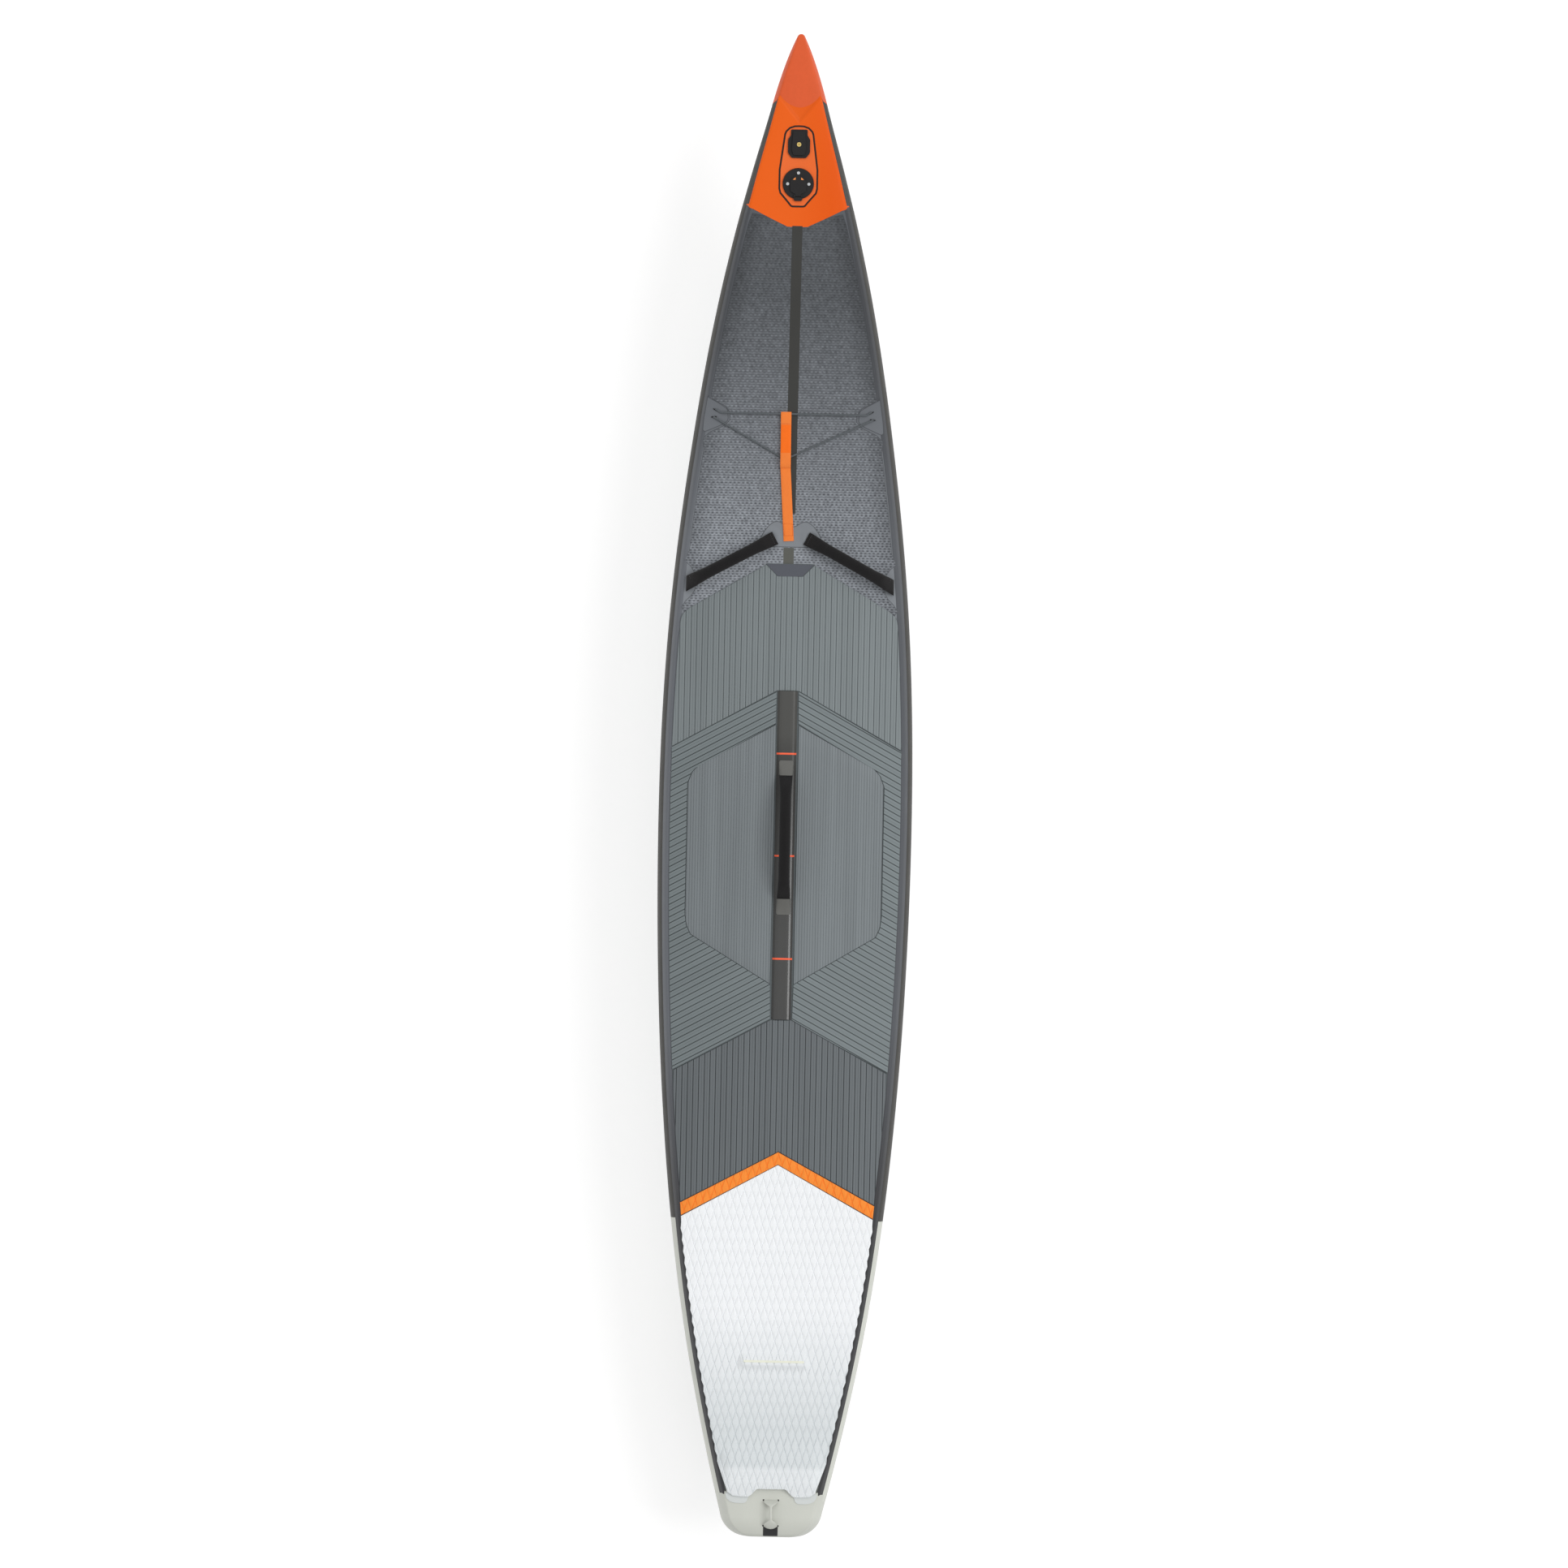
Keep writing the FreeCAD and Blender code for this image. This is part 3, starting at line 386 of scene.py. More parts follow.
def rounded(outline, radius, count=5):
    """The outline with its corners cut by short arcs."""
    soft = []
    for i, point in enumerate(outline):
        here = Vector(point)
        before = Vector(outline[i - 1]) - here
        after = Vector(outline[(i + 1) % len(outline)]) - here
        reach = min(radius, 0.45 * before.length, 0.45 * after.length)
        a = here + before.normalized() * reach
        b = here + after.normalized() * reach
        for k in range(count):
            t = k / (count - 1)
            soft.append(tuple(a * (1 - t) ** 2 + here * (2 * t * (1 - t)) + b * t * t))
    return soft


def contains(outline, x, y):
    inside = False
    for (ax, ay), (bx, by) in zip(outline, outline[1:] + outline[:1]):
        if (ay > y) != (by > y) and x < ax + (y - ay) * (bx - ax) / (by - ay):
            inside = not inside
    return inside


def trim(bm, outline):
    """Cuts a flat sheet along an outline and drops what lies outside."""
    for a, b in zip(outline, outline[1:] + outline[:1]):
        low = Vector((min(a[0], b[0]) - 1, min(a[1], b[1]) - 1))
        high = Vector((max(a[0], b[0]) + 1, max(a[1], b[1]) + 1))
        near = []
        for face in bm.faces:
            xs = [v.co.x for v in face.verts]
            ys = [v.co.y for v in face.verts]
            if max(xs) > low.x and min(xs) < high.x and max(ys) > low.y and min(ys) < high.y:
                near.append(face)
        edges = {edge for face in near for edge in face.edges}
        corners = {vertex for face in near for vertex in face.verts}
        bmesh.ops.bisect_plane(bm, geom=near + list(edges) + list(corners), dist=1e-4,
                               plane_co=(a[0], a[1], 0), plane_no=(b[1] - a[1], a[0] - b[0], 0))
    outside = []
    for face in bm.faces:
        centre = face.calc_center_median()
        if not contains(outline, centre.x, centre.y):
            outside.append(face)
    bmesh.ops.delete(bm, geom=outside, context="FACES")


def solid_below(bm, base):
    """Closes an open sheet into a solid whose underside is at height base above the deck."""
    rim = [edge for edge in bm.edges if edge.is_boundary]
    twin = {}
    for vertex in list(bm.verts):
        if vertex.link_faces:
            twin[vertex] = bm.verts.new(lay(vertex.co.x, vertex.co.y, base))
    for face in list(bm.faces):
        bm.faces.new([twin[v] for v in reversed(face.verts)])
    for edge in rim:
        a, b = edge.verts
        bm.faces.new((a, b, twin[b], twin[a]))


def sheet(outline, cell):
    """Flat grid of square cells trimmed to an outline."""
    xs = [point[0] for point in outline]
    ys = [point[1] for point in outline]
    across = spread(min(xs) - 1, max(xs) + 1, max(2, int((max(xs) - min(xs)) / cell) + 2))
    beam = spread(min(ys) - 1, max(ys) + 1, max(2, int((max(ys) - min(ys)) / cell) + 2))
    bm = bmesh.new()
    grid = [[bm.verts.new((x, y, 0)) for y in beam] for x in across]
    for one, two in zip(grid, grid[1:]):
        for j in range(len(beam) - 1):
            bm.faces.new((one[j], two[j], two[j + 1], one[j + 1]))
    trim(bm, outline)
    return bm


def mark_edge_shade(obj, reach=62.0):
    """Stores how close each corner lies to the board's outline: 1 at the pad's inset, 0 further in; the
    painted edge shade reads it.
    """
    values = []
    for vertex in obj.data.vertices:
        x, y = vertex.co.x / MM, vertex.co.y / MM
        inside = station(round(x, 1))[0] - abs(y)
        values.append(1 - smooth_step(inside, 24.0, 24.0 + reach))
    rim = obj.data.attributes.new("rim", "FLOAT", "POINT")
    rim.data.foreach_set("value", values)


def film(name, outline, top, finish, cell, base=-0.5, relief=None):
    """Thin piece that lies on the deck; relief adds height at (x, y)."""
    bm = sheet(outline, cell)
    for vertex in bm.verts:
        x, y = vertex.co.x, vertex.co.y
        vertex.co.z = deck_height(x, y) + top + (relief(x, y) if relief else 0.0)
    solid_below(bm, base)
    return object_from(bm, name, finish)


def crossing(outline, along, across, offset):
    """Where a line at an offset enters and leaves an outline, as distances along it."""
    hits = []
    for a, b in zip(outline, outline[1:] + outline[:1]):
        ca = a[0] * across.x + a[1] * across.y - offset
        cb = b[0] * across.x + b[1] * across.y - offset
        if (ca > 0) != (cb > 0):
            t = ca / (ca - cb)
            hits.append((a[0] + t * (b[0] - a[0])) * along.x + (a[1] + t * (b[1] - a[1])) * along.y)
    hits.sort()
    return hits[:2]


def ribbed_rows(outline, heading, pitch, profile, phase=0.0, count=14, rim=1.1):
    """Closed rows of a ribbed pad; profile lists (share of the pitch, depth below the pad's top)."""
    along = Vector((math.cos(heading), math.sin(heading)))
    across = Vector((-along.y, along.x))
    offsets = [x * across.x + y * across.y for x, y in outline]
    first = math.floor((min(offsets) - phase) / pitch) - 1
    last = math.ceil((max(offsets) - phase) / pitch) + 1
    rows = []
    for rib in range(first, last):
        for share, depth in profile:
            offset = phase + (rib + share) * pitch
            ends = crossing(outline, along, across, offset)
            if not ends or ends[1] - ends[0] < SHORTEST_RIB:
                continue
            stops = [ends[0]] + spread(ends[0] + RIB_END, ends[1] - RIB_END, count) + [ends[1]]
            top = []
            under = []
            for i, stop in enumerate(stops):
                x = along.x * stop + across.x * offset
                y = along.y * stop + across.y * offset
                drop = rim if i in (0, count + 1) else 0.0
                top.append(lay(x, y, PAD_TOP - min(depth + drop, DEEPEST_CUT)))
                under.append(lay(x, y, -0.4))
            rows.append(top + under[::-1])
    return rows


# Profiles of one rib: share of the pitch, depth below the pad's top
WIDE_RIB = ((0.0, 2.6), (0.045, 2.6), (0.085, 0.35), (0.2, 0.0), (0.46, 0.0), (0.5, 0.6), (0.54, 0.0),
            (0.8, 0.0), (0.95, 0.3))
FINE_RIB = ((0.0, 1.1), (0.08, 1.1), (0.2, 0.2), (0.5, 0.0), (0.85, 0.2))


def travel(path):
    """Each point of a path with the sideways and upward directions there."""
    last = len(path) - 1
    for i, point in enumerate(path):
        ahead = Vector(path[min(i + 1, last)]) - Vector(path[max(i - 1, 0)])
        flat = ahead.cross(Vector((0, 0, 1))).normalized()
        yield Vector(point), flat, flat.cross(ahead).normalized()


def tube(path, radius, sides=12):
    """Closed rows round a path of points; radius may be a number or one per point."""
    sizes = radius if isinstance(radius, list) else [radius] * len(path)
    angles = [TURN * k / sides for k in range(sides)]
    return [[here + (flat * math.cos(angle) + up * math.sin(angle)) * size for angle in angles]
            for (here, flat, up), size in zip(travel(path), sizes)]


# Cross-section of a strap: shares of its half width and half thickness
STRAP_RIM = ((1.0, 0.45), (0.95, 1.0), (0.5, 1.12), (0.0, 1.15), (-0.5, 1.12), (-0.95, 1.0), (-1.0, 0.45),
             (-1.0, -0.45), (-0.95, -1.0), (0.95, -1.0), (1.0, -0.45))


def ribbon(path, half_width, half_thick):
    """Closed rows of a flat strap along a path; its edges are slightly thinner."""
    return [[here - flat * (a * half_width) + up * (b * half_thick) for a, b in STRAP_RIM]
            for here, flat, up in travel(path)]


def stitch_line(a, b, height, length=3.0, gap=1.4, thick=0.45):
    """Rows of short stitches from a to b, lying at a height above the deck; height may be a function."""
    start = Vector(a)
    end = Vector(b)
    count = max(1, int((end - start).length / (length + gap)))
    stitches = []
    for k in range(count):
        middle = start + (end - start) * ((k + 0.5) / count)
        reach = (end - start).normalized() * (length / 2)
        points = []
        for t in (-1, -0.6, 0, 0.6, 1):
            x, y = middle + reach * t
            level = height(x, y) if callable(height) else deck_height(x, y) + height
            points.append((x, y, level + thick * (0.5 - 0.9 * t * t)))
        stitches.append(tube(points, [thick * 0.4, thick, thick, thick, thick * 0.4], 6))
    return stitches


# ---------- materials

def linear(colour):
    """Scene-linear colour of an 8-bit display colour."""
    def part(c):
        return c / 255 / 12.92 if c <= 10 else ((c / 255 + 0.055) / 1.055) ** 2.4
    return (*map(part, colour), 1.0)


class Finish:
    """Builds one node material from small steps; lengths in its patterns are millimetres."""

    def __init__(self, name, colour, rough, spread_of_colour=0.06, blotch=90.0):
        self.material = bpy.data.materials.new(name)
        self.material.use_nodes = True
        self.tree = self.material.node_tree
        self.shader = self.tree.nodes["Principled BSDF"]
        self.place = self.add("ShaderNodeTexCoord").outputs["Object"]
        parts = self.add("ShaderNodeSeparateXYZ", Vector=self.place).outputs
        self.x, self.y, self.z = (self.times(part, 1000.0) for part in parts)
        self.colour = linear(colour)
        self.height = None
        patches = self.noise(blotch, 4.0)
        tone = self.line(patches, 2 * spread_of_colour, 1 - spread_of_colour)
        self.colour = self.scaled(self.colour, tone)
        wear = self.line(self.noise(blotch / 3, 3.0), 0.14, rough - 0.07)
        self.put(self.shader.inputs["Roughness"], wear)

    def add(self, kind, **inputs):
        node = self.tree.nodes.new(kind)
        for key, value in inputs.items():
            self.put(node.inputs[key], value)
        return node

    def put(self, socket, value):
        if isinstance(value, bpy.types.NodeSocket):
            self.tree.links.new(value, socket)
        else:
            socket.default_value = value

    def math(self, operation, *values):
        node = self.tree.nodes.new("ShaderNodeMath")
        node.operation = operation
        for socket, value in zip(node.inputs, values):
            self.put(socket, value)
        return node.outputs[0]

    def times(self, a, b):
        return self.math("MULTIPLY", a, b)

    def plus(self, a, b):
        return self.math("ADD", a, b)

    def line(self, value, slope, start):
        return self.math("MULTIPLY_ADD", value, slope, start)

    def noise(self, size, detail=2.0, stretch=1.0, heading=0.0):
        """Soft noise from 0 to 1 whose blotches are about size across and drawn out along a heading."""
        mapping = self.add("ShaderNodeMapping", Vector=self.place, Scale=(stretch, 1, 1),
                           Rotation=(0, 0, heading))
        mapping.vector_type = "TEXTURE"
        node = self.add("ShaderNodeTexNoise", Vector=mapping.outputs[0], Scale=1000.0 / size, Detail=detail)
        return node.outputs["Fac"]

    def cell(self, size):
        return self.add("ShaderNodeTexVoronoi", Vector=self.place, Scale=1000.0 / size).outputs["Distance"]

    def wave(self, coordinate, pitch, phase=0.0):
        """Cosine of a coordinate, from -1 to 1."""
        return self.math("COSINE", self.line(coordinate, TURN / pitch, phase))

    def rotated(self, angle):
        """Coordinate across lines that run at an angle to +X."""
        beside = self.times(self.y, math.cos(angle))
        return self.line(self.x, -math.sin(angle), beside)

    def scaled(self, colour, factor):
        node = self.add("ShaderNodeMix")
        node.data_type = "RGBA"
        node.blend_type = "MULTIPLY"
        node.inputs["Factor"].default_value = 1.0
        self.put(node.inputs["A"], colour)
        grey = self.add("ShaderNodeCombineColor", Red=factor, Green=factor, Blue=factor)
        self.put(node.inputs["B"], grey.outputs[0])
        return node.outputs["Result"]

    def mixed(self, factor, other):
        """Blends the colour towards another where factor is 1."""
        node = self.add("ShaderNodeMix")
        node.data_type = "RGBA"
        self.put(node.inputs["Factor"], factor)
        self.put(node.inputs["A"], self.colour)
        self.put(node.inputs["B"], linear(other))
        self.colour = node.outputs["Result"]
        return self

    def ramp(self, value, low, high):
        node = self.add("ShaderNodeMapRange", Value=value)
        node.inputs["From Min"].default_value = low
        node.inputs["From Max"].default_value = high
        return node.outputs[0]

    def shade(self, pattern, amount):
        """Lightens and darkens the colour with a pattern from -1 to 1."""
        self.colour = self.scaled(self.colour, self.line(pattern, amount, 1.0))
        return self

    def lean(self, amount, reach=230.0):
        """Painted side light: lightens the port half and darkens the starboard half; a negative amount does
        the opposite.
        """
        across = self.line(self.ramp(self.y, -reach, reach), 2.0, -1.0)
        return self.shade(across, amount)

    def painted_edge_shade(self, amount):
        """Painted shade: darkens the cloth where it rolls off towards the rail."""
        node = self.add("ShaderNodeAttribute")
        node.attribute_name = "rim"
        return self.shade(node.outputs["Fac"], -amount)

    def mottle(self, amount, size, detail=2.0, stretch=1.0, heading=0.0):
        """Shades the colour with soft noise."""
        spots = self.noise(size, detail, stretch, heading)
        return self.shade(self.line(spots, 2.0, -1.0), amount)

    def relief(self, pattern, depth):
        """Adds a pattern of a given depth in millimetres to the bump."""
        step = self.times(pattern, depth)
        self.height = step if self.height is None else self.plus(self.height, step)
        return self

    def done(self, metal=0.0, sheen=0.0, coat=0.0, specular=0.5, anisotropic=0.0):
        values = {"Base Color": self.colour, "Metallic": metal, "Sheen Weight": sheen, "Coat Weight": coat,
                  "Coat Roughness": 0.2, "Specular IOR Level": specular, "Anisotropic": anisotropic}
        if self.height is not None:
            values["Normal"] = self.add("ShaderNodeBump", Height=self.height, Distance=MM).outputs[0]
        for socket, value in values.items():
            self.put(self.shader.inputs[socket], value)
        return self.material


def woven(finish, across, along, pitch, depth):
    """Plain weave: threads over and under each other at right angles."""
    over = finish.times(finish.wave(across, pitch), finish.wave(along, pitch))
    finish.relief(over, depth)
    return finish.shade(over, 0.05)


def smooth_fabric(name, colour, rough=0.55, weave=1.3, ahead=None, behind=None, lean=0.0, tail=None):
    """Coated fabric pressed smooth, with the cloth's weave just showing; its ends may be darker, towards the
    nose as painted shade, and it may carry painted side light and painted edge shade.
    """
    finish = Finish(name, colour, rough, 0.05, 120.0)
    # Painted shade: darker towards the nose.
    if ahead:
        finish.mixed(finish.ramp(finish.x, 620.0, 1150.0), ahead)
    if behind:
        finish.mixed(finish.ramp(finish.x, -600.0, -1100.0), behind)
    if tail:
        finish.mixed(finish.ramp(finish.x, -1690.0, -1780.0), tail)
    # Painted side light, and painted shade where the cloth rolls off at the rail.
    finish.lean(lean)
    finish.painted_edge_shade(0.12)
    woven(finish, finish.x, finish.y, weave, 0.03)
    finish.relief(finish.noise(2.5, 3.0), 0.03)
    return finish.done(specular=0.2)


def embossed_fabric(name, colour, dark):
    """Deck fabric with rows of pressed dashes that fade out towards the nose; painted shade darkens it
    towards the nose and where it rolls off at the rail, and painted side light lightens its port half.
    """
    finish = Finish(name, colour, 0.6, 0.07, 60.0)
    rows = finish.wave(finish.y, 10.8)
    dashes = finish.times(rows, finish.wave(finish.x, 8.6))
    drift = finish.times(rows, finish.wave(finish.x, 25.6))
    pattern = finish.plus(finish.times(finish.wave(finish.x, 6.4), 0.45),
                          finish.times(finish.plus(dashes, drift), 0.4))
    near = finish.ramp(finish.x, 1500.0, 640.0)
    strength = finish.line(near, 0.6, 0.4)
    finish.relief(finish.times(pattern, strength), 0.9)
    finish.relief(finish.noise(3.0, 4.0), 0.12)
    finish.relief(finish.noise(9.0, 2.0), 0.8)
    # Painted shade: darker towards the nose.
    finish.mixed(finish.ramp(finish.x, 560.0, 1250.0), dark)
    finish.shade(finish.times(pattern, strength), 0.55)
    finish.mottle(0.55, 8.0, 3.0)
    finish.mottle(0.22, 17.0, 2.0)
    # Painted side light, and painted shade where the cloth rolls off at the rail.
    finish.lean(0.06)
    finish.painted_edge_shade(0.34)
    woven(finish, finish.x, finish.y, 2.2, 0.05)
    return finish.done(sheen=0.05, specular=0.2)


def foam(name, colour, spread_of_colour=0.05, behind=None):
    """Closed-cell foam: fine pits and faint blotches; it may be greyer ahead of the kick."""
    finish = Finish(name, colour, 0.78, spread_of_colour, 150.0)
    if behind:
        kick = finish.ramp(finish.x, -1722.0, -1738.0)
        finish.mixed(finish.math("SUBTRACT", finish.ramp(finish.x, -1330.0, -1640.0),
                                 finish.times(kick, 0.45)), behind)
    finish.relief(finish.cell(1.1), 0.10)
    finish.relief(finish.noise(4.0, 3.0), 0.10)
    finish.mottle(0.05, 1.5, 2.0)
    return finish.done(specular=0.3)


def streaked_foam(name, colour, heading, pitch, phase, groove, streak=0.08):
    """Ribbed foam: its grooves are painted a little darker as painted shade, its port half is darker as
    painted side shade, and its blotches are drawn out along the ribs.
    """
    finish = Finish(name, colour, 0.78, 0.03, 200.0)
    across = finish.rotated(heading)
    cut = finish.wave(across, pitch, -TURN * (phase / pitch + 0.03))
    # Painted shade: a darker line along each groove.
    finish.shade(finish.ramp(cut, 0.8, 1.0), -groove)
    finish.mottle(streak, 22.0, 3.0, 30.0, heading)
    finish.shade(finish.wave(across, 97.0, 0.6), 0.018)
    finish.shade(finish.wave(across, 23.0, 1.9), 0.012)
    # Painted side shade: the port half darker.
    finish.lean(-0.08)
    finish.relief(finish.cell(1.1), 0.10)
    finish.relief(finish.noise(4.0, 3.0), 0.08)
    return finish.done(specular=0.3)


def rubber(name, colour, rough=0.5, grain=0.06, specular=0.3):
    """Moulded rubber or plastic with a fine skin texture."""
    finish = Finish(name, colour, rough, 0.06, 70.0)
    finish.relief(finish.noise(1.4, 3.0), grain)
    finish.relief(finish.cell(2.4), grain * 0.6)
    finish.mottle(0.05, 9.0, 4.0)
    return finish.done(specular=specular)


def tail_rubber(name, colour):
    """Smooth moulded tail, painted darker towards its rounded end as painted shade."""
    finish = Finish(name, colour, 0.5, 0.05, 70.0)
    # Painted shade: darker towards the rounded end.
    finish.shade(finish.ramp(finish.x, -1855.0, -1905.0), -0.16)
    finish.relief(finish.noise(1.4, 3.0), 0.03)
    return finish.done(specular=0.25)


def tape(name, colour, rough=0.55):
    """Welded rail tape: smooth, with faint lengthwise draw lines."""
    finish = Finish(name, colour, rough, 0.08, 160.0)
    finish.relief(finish.noise(3.0, 3.0, 6.7), 0.08)
    finish.mottle(0.06, 12.0, 4.0, 5.0)
    woven(finish, finish.x, finish.z, 1.6, 0.03)
    return finish.done(specular=0.2)


def panel_film(name, colour, shaded_orange):
    """Bright nose film, a deeper orange towards starboard as painted side shade, with a V-shaped fold behind
    the cap whose crease and dent are painted darker as painted shade.
    """
    finish = Finish(name, colour, 0.42, 0.04, 110.0)
    # Painted side shade: a deeper orange towards starboard.
    finish.mixed(finish.times(finish.ramp(finish.y, 10.0, -85.0), 0.95), shaded_orange)
    beside = finish.math("ABSOLUTE", finish.y)
    fold = finish.math("SUBTRACT", finish.x, finish.line(beside, 1.22, 1683.0))
    # Painted shade: the fold's crease and the dent inside it are darker.
    finish.shade(finish.ramp(finish.math("ABSOLUTE", fold), 6.0, 0.0), -0.07)
    finish.shade(finish.ramp(fold, -1.0, 5.0), -0.05)
    finish.relief(finish.ramp(fold, -9.0, 9.0), -2.5)
    woven(finish, finish.x, finish.y, 1.2, 0.02)
    finish.relief(finish.noise(14.0, 2.0), 0.25)
    return finish.done(specular=0.15)


def twill(name, colour, ahead, light):
    """Carbon twill: tows that step over each other, matt ahead and under clear lacquer behind, where the tow
    tops carry a painted highlight.
    """
    finish = Finish(name, colour, 0.36, 0.05, 60.0)
    finish.mixed(finish.ramp(finish.x, 30.0, 130.0), ahead)
    one = finish.wave(finish.plus(finish.x, finish.y), 5.6)
    two = finish.wave(finish.math("SUBTRACT", finish.x, finish.y), 2.8)
    tows = finish.times(one, two)
    back = finish.ramp(finish.x, 120.0, -380.0)
    seen = finish.times(tows, finish.line(back, 0.85, 0.15))
    finish.shade(seen, 0.35)
    finish.relief(seen, 0.12)
    # Painted highlight: lighter tow tops under the lacquer behind.
    crest_highlight = finish.times(finish.ramp(tows, 0.6, 1.0), finish.times(back, 0.22))
    finish.mixed(crest_highlight, light)
    finish.mottle(0.06, 2.0, 2.0)
    return finish.done(coat=finish.line(back, 0.9, 0.05), specular=0.12)


def knit(name, colour):
    """Neoprene faced with a fine knit."""
    finish = Finish(name, colour, 0.85, 0.12, 35.0)
    loops = finish.times(finish.wave(finish.rotated(math.radians(45)), 1.3),
                        finish.wave(finish.rotated(math.radians(-45)), 1.3))
    finish.relief(loops, 0.12)
    finish.relief(finish.noise(16.0, 3.0), 0.5)
    finish.shade(loops, 0.12)
    return finish.done(sheen=0.12, specular=0.2)


def webbing(name, colour, dark):
    """Woven strap: ribs across it, a herringbone up the middle and slightly dirty patches."""
    finish = Finish(name, colour, 0.62, 0.05, 40.0)
    ribs = finish.wave(finish.x, 1.9)
    slant = finish.wave(finish.plus(finish.math("ABSOLUTE", finish.y), finish.x), 3.4)
    finish.relief(ribs, 0.18)
    finish.relief(slant, 0.12)
    finish.shade(ribs, 0.05)
    finish.mixed(finish.times(finish.noise(25.0, 4.0), 0.25), dark)
    return finish.done(sheen=0.15, specular=0.4)


def braid(name, colour, light):
    """Braided cord cover: crossed strands with a light fleck."""
    finish = Finish(name, colour, 0.6, 0.06, 20.0)
    one = finish.wave(finish.plus(finish.x, finish.y), 2.4)
    two = finish.wave(finish.math("SUBTRACT", finish.x, finish.y), 2.4)
    strands = finish.math("MAXIMUM", one, two)
    finish.relief(strands, 0.3)
    finish.shade(strands, 0.12)
    finish.mixed(finish.times(finish.ramp(one, 0.4, 0.9), 0.3), light)
    return finish.done(sheen=0.1)


def metal(name, colour, rough):
    """Turned metal with fine scratches and dulled patches."""
    finish = Finish(name, colour, rough, 0.08, 6.0)
    finish.relief(finish.noise(0.6, 2.0, 10.0), 0.02)
    finish.mottle(0.08, 1.5, 3.0)
    return finish.done(metal=1.0, anisotropic=0.3)


def yarn(name, colour):
    """Twisted thread."""
    finish = Finish(name, colour, 0.8, 0.1, 10.0)
    strands = finish.wave(finish.plus(finish.x, finish.z), 0.9)
    finish.relief(strands, 0.1)
    finish.shade(strands, 0.1)
    return finish.done(sheen=0.2)


# Each maker with its finishes: the colour as 8-bit display values, then the maker's other values in order
RECIPES = (
    (smooth_fabric, {
        # The colour after the weave is the painted shade towards the nose; edge_band's last value paints its
        # port half lighter as painted side light.
        "deck_smooth": ((126, 130, 135), 0.55, 1.3, (86, 89, 94), (72, 74, 76), 0.0, (98, 102, 98)),
        "bottom_fabric": ((176, 179, 178), 0.5, 1.6),
        "wall_fabric": ((60, 61, 62),),
        "edge_band": ((95, 98, 103), 0.5, 1.3, (70, 72, 76), (62, 62, 64), 0.2),
        "edge_line": ((92, 95, 99), 0.55, 1.3, (66, 68, 72)),
    }),
    # The second colour is the painted shade towards the nose.
    (embossed_fabric, {"deck_embossed": ((132, 136, 142), (82, 85, 89))}),
    (tape, {
        "rail_dark": ((62, 61, 58),),
        "rail_light": ((203, 205, 197), 0.5),
        "outline_dark": ((44, 30, 24), 0.45),
        "strip_dark": ((57, 57, 55), 0.5),
        "strip_green": ((88, 89, 84), 0.6),
    }),
    (tail_rubber, {"tail_skin": ((198, 200, 192),)}),
    (panel_film, {
        # The second colour is the painted side shade towards starboard.
        "nose_film": ((233, 96, 18), (226, 86, 0)),
        "panel_film": ((233, 107, 48), (232, 103, 40)),
    }),
    (streaked_foam, {
        "foam_long": ((123, 130, 132), 0.0, RIB_PITCH, RIB_PITCH / 2, 0.0),
        # Painted side shade: the port copy is a little darker than the starboard copy.
        "foam_port": ((117, 125, 127), math.pi / 2 + DIAGONAL, RIB_PITCH, DIAGONAL_PHASE, 0.5),
        "foam_starboard": ((120, 128, 130), -math.pi / 2 - DIAGONAL, RIB_PITCH, DIAGONAL_PHASE, 0.5),
        "foam_fine": ((121, 127, 130), 0.0, FINE_PITCH, 0.0, 0.12, 0.16),
        "foam_rear": ((103, 108, 111), 0.0, RIB_PITCH, RIB_PITCH / 2, 0.3),
    }),
    (foam, {
        "foam_base": ((88, 94, 96),),
        "foam_orange": ((245, 141, 52), 0.04),
        "foam_white": ((238, 240, 242), 0.02, (212, 217, 219)),
        "foam_ledge": ((204, 208, 207), 0.02),
    }),
    # The last colour is the painted highlight on the tow tops.
    (twill, {"carbon": ((56, 56, 55), (79, 79, 77), (128, 130, 130))}),
    (knit, {"neoprene": ((23, 22, 23),)}),
    (webbing, {
        "webbing_black": ((34, 34, 35), (50, 50, 50)),
        "webbing_orange": ((247, 130, 44), (232, 108, 24)),
    }),
    (braid, {"cord": ((84, 90, 94), (126, 130, 134))}),
    (rubber, {
        "nose_cap": ((216, 90, 46), 0.5, 0.03, 0.2),
        "carbon_patch": ((97, 97, 94), 0.6, 0.05),
        "mark_orange": ((244, 98, 62), 0.4),
        "badge": ((80, 83, 91), 0.45, 0.03),
        "cream": ((229, 230, 214), 0.5, 0.03),
        "label_orange": ((243, 108, 12), 0.5, 0.02, 0.2),
        "arrow_print": ((250, 152, 78), 0.5, 0.02, 0.2),
        "moulded_black": ((26, 24, 25), 0.42, 0.05, 0.25),
        "seal": ((24, 24, 25), 0.6, 0.02),
        "fin_black": ((26, 27, 28), 0.35, 0.03),
    }),
    (metal, {"brass": ((214, 190, 120), 0.32), "steel": ((200, 202, 204), 0.28)}),
    (yarn, {"thread": ((226, 226, 220),), "stitch_orange": ((214, 92, 24),), "stitch_grey": ((58, 58, 60),)}),
)
FINISHES = {name: make(name, *values) for make, table in RECIPES for name, values in table.items()}
